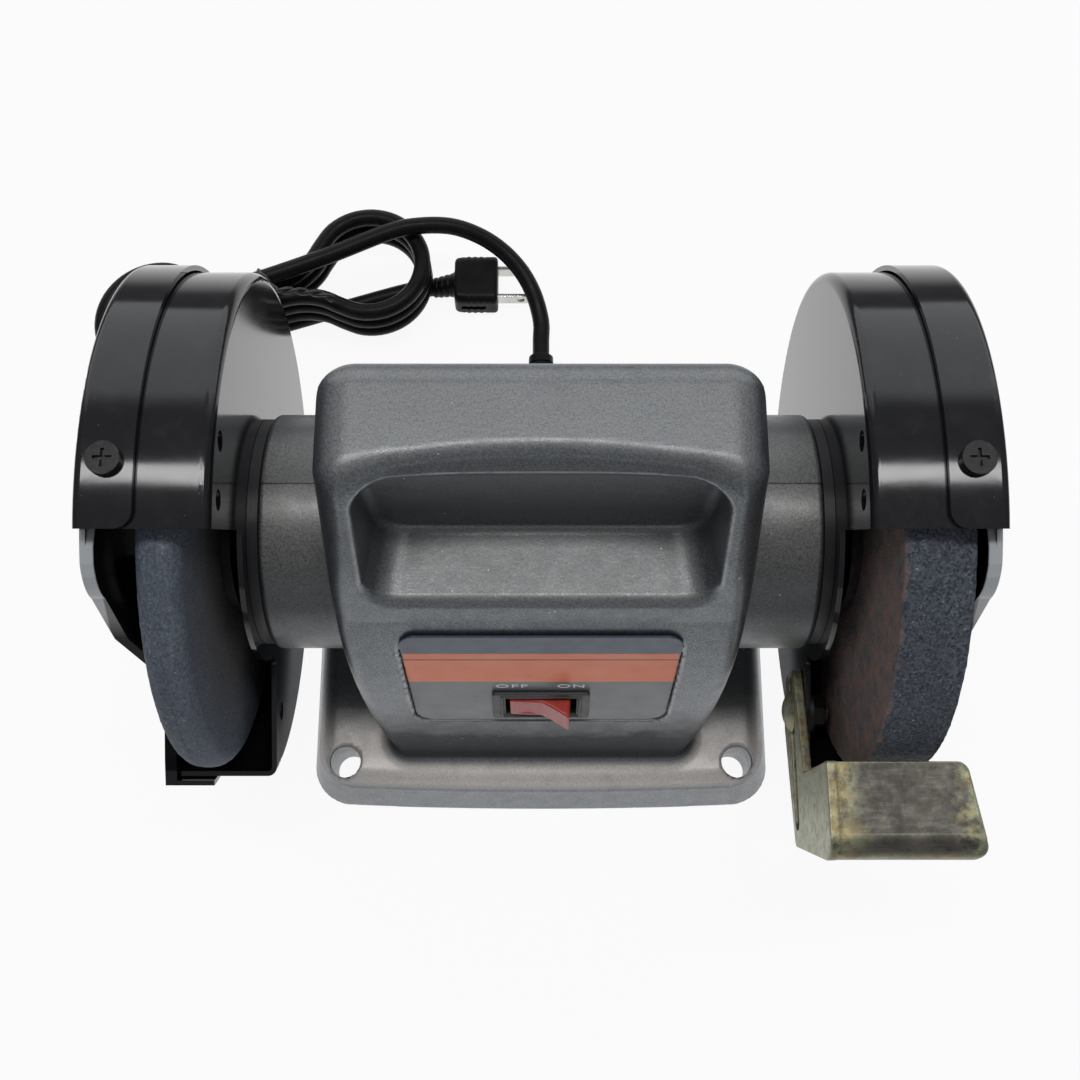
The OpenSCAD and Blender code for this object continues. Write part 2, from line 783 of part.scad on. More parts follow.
module guard_cover() {
    color(guard_black) difference() {
        union() {
            difference() {
                spin() cover_profile();
                across(0, far) disc_opening();
            }
            intersection() {
                across(cover_x - lip_w, lip_w - eps) difference() {
                    disc_opening(sheet);
                    disc_opening();
                }
                bar_x(0, far, cover_r - eps);
            }
        }
        across(0, far) rim_opening();
        at_cover_screw() cylinder(h = 30, d = cover_screw_d + 0.4, center = true);
        at_rim(cover_x - cover_rim, guard_top_deg) translate([0, 0, -10]) linear_extrude(20) difference() {
            translate([-1, -1]) square(rim_corner + 1);
            translate([rim_corner, rim_corner]) circle(rim_corner);
        }
    }
}

module guard_screws() {
    color([0.15, 0.15, 0.15]) at_guard_screws() translate([0, 0, bell_x + fit - guard_x - sheet])
        mirror([0, 0, 1]) pan_screw(guard_screw_d - fit, 13, 4.4, 2.2);
}

module cover_screw() {
    color([0.12, 0.12, 0.12]) at_cover_screw()
        pan_screw(cover_screw_d - fit, cover_screw_len, screw_head_r, 2.4);
}

// ---- label and switch ----

module label_plate() {
    color([0.35, 0.38, 0.42]) on_panel(label_drop) translate([0, 0, -label_depth]) difference() {
        linear_extrude(label_t) label_outline();
        translate([1 - bezel_w / 2, label_drop - switch_drop + 1 - bezel_h / 2, -1])
            cube([bezel_w - 2, bezel_h - 2, 4]);
    }
}

module switch_body() {
    seat = label_t - label_depth;
    top = seat + bezel_t;
    slot_w = rocker_w + 2 * rocker_end_gap;
    slot_h = rocker_h + 2 * rocker_gap;
    color([0.05, 0.05, 0.05]) on_panel(switch_drop) difference() {
        union() {
            translate([-bezel_w / 2, -bezel_h / 2, seat]) cube([bezel_w, bezel_h, bezel_t]);
            translate([-switch_body_w / 2, -switch_body_h / 2, top - switch_body_d])
                cube([switch_body_w, switch_body_h, switch_body_d - bezel_t / 2]);
        }
        translate([-slot_w / 2, -slot_h / 2, top - 11]) cube([slot_w, slot_h, 20]);
        translate([0, 0, top - rocker_pivot]) rotate([90, 0, 0])
            cylinder(h = far, d = rocker_pin_d + 2 * run_fit, center = true);
    }
}

// The rocker, tilted to its off side: the left end lies low and the right end stands out.
module switch_rocker() {
    half = rocker_w / 2;
    color([0.75, 0.16, 0.13]) on_panel(switch_drop)
        translate([0, 0, label_t - label_depth + bezel_t - rocker_pivot]) rotate([90, 0, 0]) {
            translate([0, 0, -rocker_h / 2]) linear_extrude(rocker_h)
                polygon([[0.8 - half, -3], [half - 1.6, -3], [half - 0.2, -1], [half - 0.6, 7.2],
                    [half - 1.4, 7.8], [0, 4], [0.6 - half, 3.6], [-half, 3]]);
            cylinder(h = switch_body_h - 0.6, d = rocker_pin_d, center = true);
        }
}

// ---- tool rest ----

module rest_plate_outline() {
    front = -rest_rear - rest_table_d;
    low = rest_top - rest_bend_r;
    p = rest_pivot;
    polygon(concat([[-rest_rear, rest_top], [2 - rest_rear, p[1] + 15], [p[0] + 13, p[1] + 7],
        [p[0] + 13, p[1] - 7], [p[0] - 2, p[1] - 15], [front + 2, p[1] - 6],
        [front - rest_bend_r, low - rest_lip]], arc([front, low], rest_bend_r, 180, 90, 12)));
}

module rest_bracket() {
    front = -rest_rear - rest_table_d;
    low = rest_top - rest_bend_r;
    tip = front - rest_bend_r;
    color(zinc_yellow) difference() {
        union() {
            across(rest_x, rest_t) rest_plate_outline();
            across(rest_x, rest_end_x - rest_x) {
                translate([front, rest_under]) square([rest_table_d, rest_t]);
                translate([front, low]) mirror([1, 0]) bend(rest_bend_r, rest_t);
                translate([tip, low - rest_lip]) square([rest_t, rest_lip]);
            }
        }
        across(rest_x - 1, rest_t + 2) translate(rest_pivot) {
            translate([-rest_slot_front, -rest_slot_w / 2])
                square([rest_slot_front + rest_slot_back, rest_slot_w]);
            for (y = [-rest_slot_front, rest_slot_back]) translate([y, 0]) circle(d = rest_slot_w);
        }
        linear_extrude(far) polygon([[rest_end_x, tip], [rest_end_x + 1, tip],
            [rest_end_x + 1, 1 - rest_rear], [rest_end_x - rest_end_cut, 1 - rest_rear]]);
    }
}

// Moves what it draws to the rest bolt, pointing away from the motor.
module at_rest_bolt(x) {
    translate([x, rest_pivot[0], axis_h + rest_pivot[1]]) rotate([0, 90, 0]) children();
}

module rest_bolt() {
    end = guard_x + sheet + washer_t + rest_nut_h + 0.8;
    dome = (rest_head_r * rest_head_r + rest_head_h * rest_head_h) / (2 * rest_head_h);
    color(zinc_yellow) {
        at_rest_bolt(rest_x - fit) mirror([0, 0, 1]) rotate_extrude() intersection() {
            translate([0, rest_head_h - dome]) circle(dome);
            square([rest_head_r, rest_head_h]);
        }
        at_rest_bolt(rest_x - fit - 1) cylinder(h = end - rest_x + fit + 1, d = rest_bolt_d);
    }
}

module rest_washer() {
    color(zinc_yellow) at_rest_bolt(guard_x + sheet + 0.02) difference() {
        cylinder(h = washer_t - 0.02, r = washer_r);
        cylinder(h = far, d = rest_bolt_d + 0.4, center = true);
    }
}

module rest_nut() {
    color(zinc_yellow) at_rest_bolt(guard_x + sheet + washer_t) difference() {
        hex_nut(rest_nut_flats, rest_nut_h);
        cylinder(h = far, d = rest_bolt_d, center = true);
    }
}

// ---- cord ----

module cord_gland() {
    color(rubber_black) translate([0, gland_seat_y, gland_z]) rotate([-90, 0, 0]) {
        cylinder(h = gland_collar, r = gland_r);
        cylinder(h = CORD[0][1] - gland_seat_y, r1 = gland_r - 0.5, r2 = gland_end_r);
        translate([0, 0, -8]) cylinder(h = 9, r = gland_neck_r);
    }
}

function unit(v) = v / norm(v);
function heading(path, i) = unit(path[min(i + 1, len(path) - 1)] - path[max(i - 1, 0)]);
function ring(mid, dir, r, n) = let (side = unit(cross(dir, [0, 0, 1])), up = cross(side, dir))
    [for (j = [0:n - 1]) mid + r * (cos(360 * j / n) * side + sin(360 * j / n) * up)];

// A tube swept along a path, with n sides.
module tube(path, r, n) {
    last = len(path) - 1;
    points = [for (i = [0:last]) each ring(path[i], heading(path, i), r, n)];
    sides = [for (i = [0:last - 1], j = [0:n - 1])
        [i * n + j, i * n + (j + 1) % n, (i + 1) * n + (j + 1) % n, (i + 1) * n + j]];
    first_face = [for (j = [n - 1:-1:0]) j];
    last_face = [for (j = [0:n - 1]) last * n + j];
    polyhedron(points, concat(sides, [first_face, last_face]));
}

module cord_tube() {
    color(rubber_black) tube(CORD, cord_d / 2, 10);
}

module at_hank_waist() {
    translate([HANK_LEFT[0], HANK_LEFT[1], 0]) rotate(atan2(hank_run[1], hank_run[0]))
        translate([hank_span / 2, 0, 0]) children();
}

// Outline of the hank, two loops drawn together at the waist between them.
module hank_outline() {
    half = hank_span / 2;
    neck = half - hank_neck;
    polygon(concat(arc([half, 0], hank_r, -120, 120, 24), [[neck, hank_waist], [-neck, hank_waist]],
        arc([-half, 0], hank_r, 60, 300, 24), [[-neck, -hank_waist], [neck, -hank_waist]]));
}

module cord_hank() {
    core = hank_waist - tie_t - 0.2;
    color(rubber_black) at_hank_waist() difference() {
        linear_extrude(hank_h) hank_outline();
        for (y = [-1, 1]) translate([0, y * (core + hank_r), hank_h / 2])
            cube([tie_w + 0.4, 2 * hank_r, hank_h + 2], center = true);
        for (z = [0, hank_h]) translate([0, 0, z])
            cube([tie_w + 0.4, 2 * hank_r, 2 * tie_t + 0.4], center = true);
    }
}

module cord_tie() {
    color([0.03, 0.03, 0.03]) at_hank_waist() translate([-tie_w / 2, 0, 0]) difference() {
        translate([0, -hank_waist, 0]) cube([tie_w, 2 * hank_waist, hank_h]);
        translate([-1, tie_t - hank_waist, tie_t])
            cube([tie_w + 2, 2 * (hank_waist - tie_t), hank_h - 2 * tie_t]);
    }
}

module plug_body() {
    sunk = 2;
    color(rubber_black) translate(plug_mid) {
        rotate([90, 0, 90]) rounded_plate(plug_w, plug_h, plug_round, plug_len);
        rotate([0, -90 - plug_neck_lean, 0]) translate([0, 0, -sunk])
            cylinder(h = plug_neck_len, r1 = plug_neck_r, r2 = plug_neck_end_r);
    }
}

module plug_pins() {
    color(steel) translate(plug_mid) for (y = [-1, 1])
        translate([plug_len - 4, (y * pin_pitch - pin_t) / 2, -pin_h / 2]) cube([pin_len + 4, pin_t, pin_h]);
}

housing();
bottom_plate();
bottom_plate_screws();
mirror([1, 0, 0]) end_bell();  // end_bell_left
end_bell();  // end_bell_right
stator_core();
stator_windings();
capacitor();
capacitor_clip();
mirror([1, 0, 0]) bearing();  // bearing_left
bearing();  // bearing_right
mirror([1, 0, 0]) guard_spacer();  // guard_spacer_left
guard_spacer();  // guard_spacer_right
mirror([1, 0, 0]) guard_shell();  // guard_shell_left
guard_shell();  // guard_shell_right
mirror([1, 0, 0]) guard_cover();  // guard_cover_left
guard_cover();  // guard_cover_right
mirror([1, 0, 0]) guard_screws();  // guard_screws_left
guard_screws();  // guard_screws_right
mirror([1, 0, 0]) cover_screw();  // cover_screw_left
cover_screw();  // cover_screw_right
label_plate();
switch_body();
switch_rocker();
shaft();
rotor();
mirror([1, 0, 0]) inner_flange();  // inner_flange_left
inner_flange();  // inner_flange_right
mirror([1, 0, 0]) wheel_left();
wheel_right();
mirror([1, 0, 0]) outer_flange(outer_flange_x_left);  // outer_flange_left
outer_flange(outer_flange_x_right);  // outer_flange_right
mirror([1, 0, 0]) arbor_nut(outer_flange_x_left + outer_flange_t);  // arbor_nut_left
arbor_nut(outer_flange_x_right + outer_flange_t);  // arbor_nut_right
rest_bracket();
rest_bolt();
rest_washer();
rest_nut();
cord_gland();
cord_tube();
cord_hank();
cord_tie();
plug_body();
plug_pins();
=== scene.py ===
from functools import reduce
from math import atan2, copysign, cos, degrees, hypot, pi, radians, sin, sqrt

import bmesh
import bpy
import numpy as np
from mathutils import Matrix, Vector


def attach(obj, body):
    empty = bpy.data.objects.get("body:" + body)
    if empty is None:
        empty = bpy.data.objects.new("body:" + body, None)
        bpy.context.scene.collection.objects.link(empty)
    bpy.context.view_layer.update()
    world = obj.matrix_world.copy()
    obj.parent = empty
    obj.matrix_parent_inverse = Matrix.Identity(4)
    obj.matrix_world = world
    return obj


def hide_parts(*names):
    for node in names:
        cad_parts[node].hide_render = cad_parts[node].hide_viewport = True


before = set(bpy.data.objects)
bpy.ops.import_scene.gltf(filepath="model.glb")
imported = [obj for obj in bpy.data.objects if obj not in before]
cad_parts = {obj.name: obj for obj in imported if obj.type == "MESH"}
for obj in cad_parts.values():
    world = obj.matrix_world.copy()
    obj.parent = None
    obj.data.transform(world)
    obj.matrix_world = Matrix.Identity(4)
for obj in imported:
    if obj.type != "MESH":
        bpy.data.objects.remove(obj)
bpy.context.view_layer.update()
scene = bpy.context.scene
MM = 0.001

# Sizes that part.scad has too, in millimetres
AXIS = 106.0              # height of the shaft above the bench
BASE_W, BASE_D, BASE_H = 171.0, 150.0, 26.0
HOLES_X, HOLES_Y, HOLE_R = 142.0, 123.0, 5.5
FOOT_W, FOOT_D = 106.0, 119.0    # the housing where it meets the base
TOP_W = 123.0
TOP = AXIS + 86           # height of the housing's top
SHOULDER = AXIS + 26      # height where the front panel turns into the sloping face
GRIP_FLOOR = AXIS + 36
PANEL_R = 369.0           # radius of the panels' bow
PANEL_LEAN = radians(2.6)
LABEL_W, LABEL_LOW_W, LABEL_H, LABEL_ROUND = 86.6, 82.5, 60.0, 6.0
BEZEL_W, BEZEL_H = 31.5, 18.6
SWITCH_DROP = 20.0        # from the panel's middle down to the switch
COVER_X = 123.5           # outer face of a guard cover
WHEEL_X = 97.9            # inner face of a wheel
GLAND_Z = 13.0            # height of the cord's way out

# Sizes of the visual model's own
LABEL_DROP = 3.75         # from the panel's middle down to the label's
WHEEL_R = 74.7            # the stones' grit stands out from it

# The front panel's middle, the way up it and the way out of it
PANEL_MID = (0.0, -46.806, 102.5)
PANEL_UP = (0.0, cos(radians(76.4)), sin(radians(76.4)))
PANEL_OUT = (0.0, -PANEL_UP[2], PANEL_UP[1])


# ---- camera ----

eye = Vector((0.0, -0.1397, 0.5359))
look = Vector((0.0, 0.0, AXIS * MM)) - eye
camera = bpy.data.objects.new("camera", bpy.data.cameras.new("camera"))
camera.location = eye
camera.rotation_euler = look.to_track_quat("-Z", "Y").to_euler()
camera.data.sensor_width = 36.0
camera.data.lens = 46.83
camera.data.shift_x = -1.0 / 1080
camera.data.shift_y = -8.5 / 1080
camera.data.clip_start = 0.01
scene.collection.objects.link(camera)
scene.camera = camera
scene.view_settings.view_transform = "Standard"


# ---- building blocks ----


def add(name, data, body, finish, place=None):
    """A piece from a mesh, a curve or letters, on its body and in its slot. Place is a matrix."""
    data.name = name
    piece = bpy.data.objects.new(name, data)
    scene.collection.objects.link(piece)
    data.materials.append(finish.material)
    if place:
        piece.matrix_world = place
    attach(piece, body)
    return piece


def mesh_of(points, faces, normals=None):
    """A smooth mesh from arrays: points in millimetres, and faces that all have as many sides."""
    mesh = bpy.data.meshes.new("mesh")
    points = np.asarray(points, dtype=np.float64) * MM
    faces = np.asarray(faces, dtype=np.int32)
    sides = faces.shape[1]
    mesh.vertices.add(len(points))
    mesh.vertices.foreach_set("co", points.ravel())
    mesh.loops.add(faces.size)
    mesh.loops.foreach_set("vertex_index", faces.ravel())
    mesh.polygons.add(len(faces))
    mesh.polygons.foreach_set("loop_start", np.arange(0, faces.size, sides, dtype=np.int32))
    mesh.polygons.foreach_set("use_smooth", np.full(len(faces), True))
    mesh.update(calc_edges=True)
    mesh.validate()
    if normals is not None:
        mesh.normals_split_custom_set_from_vertices(normals.tolist())
    return mesh


def both(a, b, r):
    """What lies in a and in b, with the edge between them rounded by r."""
    return np.minimum(-r, np.maximum(a, b)) + np.hypot(np.maximum(a + r, 0), np.maximum(b + r, 0))


def either(a, b, r):
    """What lies in a or in b, with a fillet of r between them."""
    return np.maximum(r, np.minimum(a, b)) - np.hypot(np.maximum(r - a, 0), np.maximum(r - b, 0))


def less(a, b, r):
    """What lies in a and not in b, with the edge between them rounded by r."""
    return both(a, -b, r)


def common(*forms):
    """What lies in all of the forms, with sharp edges."""
    return reduce(np.maximum, forms)


def joined(*forms):
    """What lies in any of the forms."""
    return reduce(np.minimum, forms)


def along(value, start, length):
    """How far a value has come from start towards start + length, from 0 to 1."""
    return np.clip((value - start) / length, 0, 1)


def slope_of(form, p, step):
    """The slope of a form at the points p, from its values a step to either side of them."""
    g = np.empty_like(p)
    for k in range(3):
        q = p.copy()
        q[:, k] += step
        ahead = form(*q.T)
        q[:, k] -= 2 * step
        g[:, k] = (ahead - form(*q.T)) / (2 * step)
    return g


SLAB = 24    # slices of the grid that are worked out at a time


def skin(form, low, high, cell, edge_wear=False):
    """The surface where form(x, y, z) is zero, as quads with the form's own slope as normals.

    Low and high are two corners of its box, and cell is the size of a quad, all in millimetres.
    With edge_wear, the attribute "edge" says how much each place stands out.
    """
    axes = [np.arange(a, b + cell, cell) for a, b in zip(low, high)]
    nx, ny, nz = [len(a) for a in axes]
    value = np.empty((nx, ny, nz), dtype=np.float32)
    for i in range(0, nx, SLAB):
        x, y, z = np.meshgrid(axes[0][i:i + SLAB], axes[1], axes[2], indexing="ij")
        value[i:i + SLAB] = form(x, y, z)
    solid = value < 0
    corners = [(a, b, c) for a in (0, 1) for b in (0, 1) for c in (0, 1)]
    count = sum(solid[a:nx - 1 + a, b:ny - 1 + b, c:nz - 1 + c].astype(np.int8) for a, b, c in corners)
    # one point in each cell that the surface passes through, at the mean of where it cuts the edges
    mixed = (count > 0) & (count < len(corners))
    cells = np.argwhere(mixed)
    index = np.full(mixed.shape, -1, dtype=np.int64)
    index[mixed] = np.arange(len(cells))
    total = np.zeros((len(cells), 3))
    hits = np.zeros(len(cells))
    for a in corners:
        for k in range(3):
            if a[k]:
                continue
            b = tuple(1 if n == k else a[n] for n in range(3))
            va, vb = [value[tuple((cells + corner).T)].astype(np.float64) for corner in (a, b)]
            cross = (va < 0) != (vb < 0)
            t = np.where(cross, va / np.where(cross, va - vb, 1.0), 0.0)
            at = np.array(a, dtype=float)[None, :].repeat(len(cells), 0)
            at[:, k] += t
            total += at * cross[:, None]
            hits += cross
    origin = np.array([a[0] for a in axes])
    p = origin + cell * (cells + total / hits[:, None])
    # small steps along the slope bring each point onto the surface, and keep it in its cell
    start = p.copy()
    for _ in range(3):
        g = slope_of(form, p, cell * 0.1)
        d = form(*p.T)
        p -= 0.9 * (d / np.maximum((g * g).sum(1), 0.2))[:, None] * g
        p = start + np.clip(p - start, -cell * 0.7, cell * 0.7)
    # one quad around each edge of the grid that the surface cuts
    faces = []
    for k in range(3):
        m, n = (k + 1) % 3, (k + 2) % 3
        lower = [slice(None)] * 3
        upper = [slice(None)] * 3
        lower[k], upper[k] = slice(0, -1), slice(1, None)
        here, there = solid[tuple(lower)], solid[tuple(upper)]
        edge = here != there
        for axis in (m, n):
            s = [slice(None)] * 3
            s[axis] = [0, -1]
            edge[tuple(s)] = False
        e = np.argwhere(edge)
        if not len(e):
            continue
        quad = []
        for dm, dn in ((-1, -1), (0, -1), (0, 0), (-1, 0)):
            c = e.copy()
            c[:, m] += dm
            c[:, n] += dn
            quad.append(index[tuple(c.T)])
        quad = np.stack(quad, axis=1)
        turn = ~here[tuple(e.T)]
        quad[turn] = quad[turn][:, ::-1]
        faces.append(quad)
    faces = np.concatenate(faces)
    faces = faces[(faces >= 0).all(axis=1)]
    g = slope_of(form, p, cell * 0.25)
    g /= np.maximum(np.linalg.norm(g, axis=1), 1e-9)[:, None]
    mesh = mesh_of(p, faces, g)
    if edge_wear:
        far = cell * 1.2
        bend = np.zeros(len(p))
        for k in range(3):
            for s in (-far, far):
                q = p.copy()
                q[:, k] += s
                bend += form(*q.T)
        mesh.attributes.new("edge", "FLOAT", "POINT").data.foreach_set("value", (bend / far).astype(np.float32))
    return mesh


def lathe(profile, sides, x0, flip):
    """Turns (radius, x) points around the shaft, from x0 to the right, or to the left with flip."""
    profile = np.array(profile, dtype=float)
    if flip:
        profile = profile[::-1] * np.array([1.0, -1.0])
    a = 2 * pi * np.arange(sides) / sides
    points = []
    for r, x in profile:
        points.append(np.stack([np.full(sides, x + x0), -r * np.cos(a), AXIS + r * np.sin(a)], axis=1))
    points = np.concatenate(points)
    faces = []
    for i in range(len(profile) - 1):
        j = np.arange(sides)
        k = (j + 1) % sides
        faces.append(np.stack([i * sides + j, i * sides + k, (i + 1) * sides + k, (i + 1) * sides + j], axis=1))
    mesh = mesh_of(points, np.concatenate(faces))
    work = bmesh.new()
    work.from_mesh(mesh)
    bmesh.ops.remove_doubles(work, verts=work.verts, dist=1e-7)
    bmesh.ops.recalc_face_normals(work, faces=work.faces)
    work.to_mesh(mesh)
    work.free()
    return mesh


def smooth_path(points, step):
    """A Catmull-Rom curve through the points, as places about a step apart."""
    p = [Vector(q) for q in points]
    p = [2 * p[0] - p[1]] + p + [2 * p[-1] - p[-2]]
    out = []
    for i in range(1, len(p) - 2):
        a, b, c, d = p[i - 1:i + 3]
        n = max(1, round((c - b).length / step))
        for j in range(n):
            t = j / n
            out.append(0.5 * (2 * b + (c - a) * t + (2 * a - 5 * b + 4 * c - d) * t * t
                              + (3 * b - a - 3 * c + d) * t ** 3))
    out.append(p[-2])
    return out


def curve_of(name, path, radius, body, finish, sides=5):
    """A round bar along a path, in millimetres."""
    data = bpy.data.curves.new(name, "CURVE")
    data.dimensions = "3D"
    data.bevel_depth = radius * MM
    data.bevel_resolution = sides
    data.use_fill_caps = True
    spline = data.splines.new("POLY")
    spline.points.add(len(path) - 1)
    for i, p in enumerate(path):
        spline.points[i].co = (p[0] * MM, p[1] * MM, p[2] * MM, 1.0)
    spline.use_smooth = True
    return add(name, data, body, finish)


# ---- materials ----


class Nodes:
    """The shader nodes of a material or of the world."""

    def __init__(self, owner):
        owner.use_nodes = True
        self.nodes = owner.node_tree.nodes
        self.links = owner.node_tree.links

    def link(self, value, socket):
        if isinstance(value, bpy.types.NodeSocket):
            self.links.new(value, socket)
        else:
            socket.default_value = value

    def new(self, kind, **inputs):
        """A node, with some of its inputs set to constants or linked to other nodes' outputs."""
        node = self.nodes.new("ShaderNode" + kind)
        for name, value in inputs.items():
            self.link(value, node.inputs[name.replace("_", " ")])
        return node

    def math(self, operation, a, b=0.0):
        node = self.new("Math")
        node.operation = operation
        self.link(a, node.inputs[0])
        self.link(b, node.inputs[1])
        return node.outputs[0]

    def vector(self, operation, value, other=None):
        """The outputs of a step with vectors. Other is the second vector, or what SCALE scales by."""
        node = self.new("VectorMath", Vector=value)
        node.operation = operation
        if other is not None:
            self.link(other, node.inputs["Scale" if operation == "SCALE" else 1])
        return node.outputs

    def times(self, first, *rest):
        return reduce(lambda a, b: self.math("MULTIPLY", a, b), rest, first)

    def ramp(self, value, low, high, to_low=0.0, to_high=1.0, step="LINEAR"):
        node = self.new("MapRange", Value=value, From_Min=low, From_Max=high, To_Min=to_low, To_Max=to_high)
        node.interpolation_type = step
        return node.outputs["Result"]


class Finish(Nodes):
    """A material with its nodes. Places in it are the object's own, in millimetres."""

    def __init__(self, name, **settings):
        self.material = bpy.data.materials.new(name)
        super().__init__(self.material)
        self.shader = self.nodes["Principled BSDF"]
        for k, v in settings.items():
            self.set(k.replace("_", " "), v)
        self.place = self.vector("SCALE", self.new("TexCoord").outputs["Object"], 1 / MM)[0]

    def set(self, name, value):
        self.link(value, self.shader.inputs[name])

    def part(self, vector, axis):
        return self.new("SeparateXYZ", Vector=vector).outputs[axis]

    def facing(self, axis):
        """How far the surface faces along an axis, from -1 to 1."""
        return self.part(self.new("NewGeometry").outputs["Normal"], axis)

    x = property(lambda self: self.part(self.place, "X"))
    y = property(lambda self: self.part(self.place, "Y"))
    z = property(lambda self: self.part(self.place, "Z"))
    up = property(lambda self: self.facing("Z"))
    sideways = property(lambda self: self.size(self.facing("X")))

    @property
    def edge(self):
        """How much a place stands out, from the skin's own attribute."""
        node = self.new("Attribute")
        node.attribute_name = "edge"
        return node.outputs["Fac"]

    def stretch(self, *by):
        return self.vector("MULTIPLY", self.place, by)[0]

    def noise(self, size, detail=3.0, rough=0.55, at=None, warp=0.0):
        return self.new("TexNoise", Vector=at or self.place, Scale=1.0 / size, Detail=detail, Roughness=rough,
                        Distortion=warp).outputs["Fac"]

    def cells(self, size, output="Distance"):
        return self.new("TexVoronoi", Vector=self.place, Scale=1.0 / size).outputs[output]

    def size(self, value):
        return self.math("ABSOLUTE", value)

    def from_shaft(self):
        """The distance from the middle of the shaft."""
        y2, z2 = [self.math("POWER", v, 2.0) for v in (self.y, self.math("SUBTRACT", self.z, AXIS))]
        return self.math("SQRT", self.math("ADD", y2, z2))

    def fall(self, value, low, high, most=1.0):
        """A ramp the other way up: the most at low, and nothing from high on."""
        return self.ramp(value, low, high, most, 0.0)

    def mix(self, factor, a, b):
        """Colour a where the factor is 0, and colour b where it is 1."""
        node = self.new("Mix")
        node.data_type = "RGBA"
        # the colours' sockets come after those for numbers and vectors
        for value, socket in ((factor, 0), (a, 6), (b, 7)):
            self.link((*value, 1.0) if isinstance(value, tuple) else value, node.inputs[socket])
        return node.outputs[2]

    def bump(self, *layers):
        """Layers of (height from 0 to 1, depth in millimetres)."""
        before = {}
        for height, depth in layers:
            before = {"Normal": self.new("Bump", Distance=depth * MM, Height=height, **before).outputs[0]}
        self.set("Normal", before["Normal"])


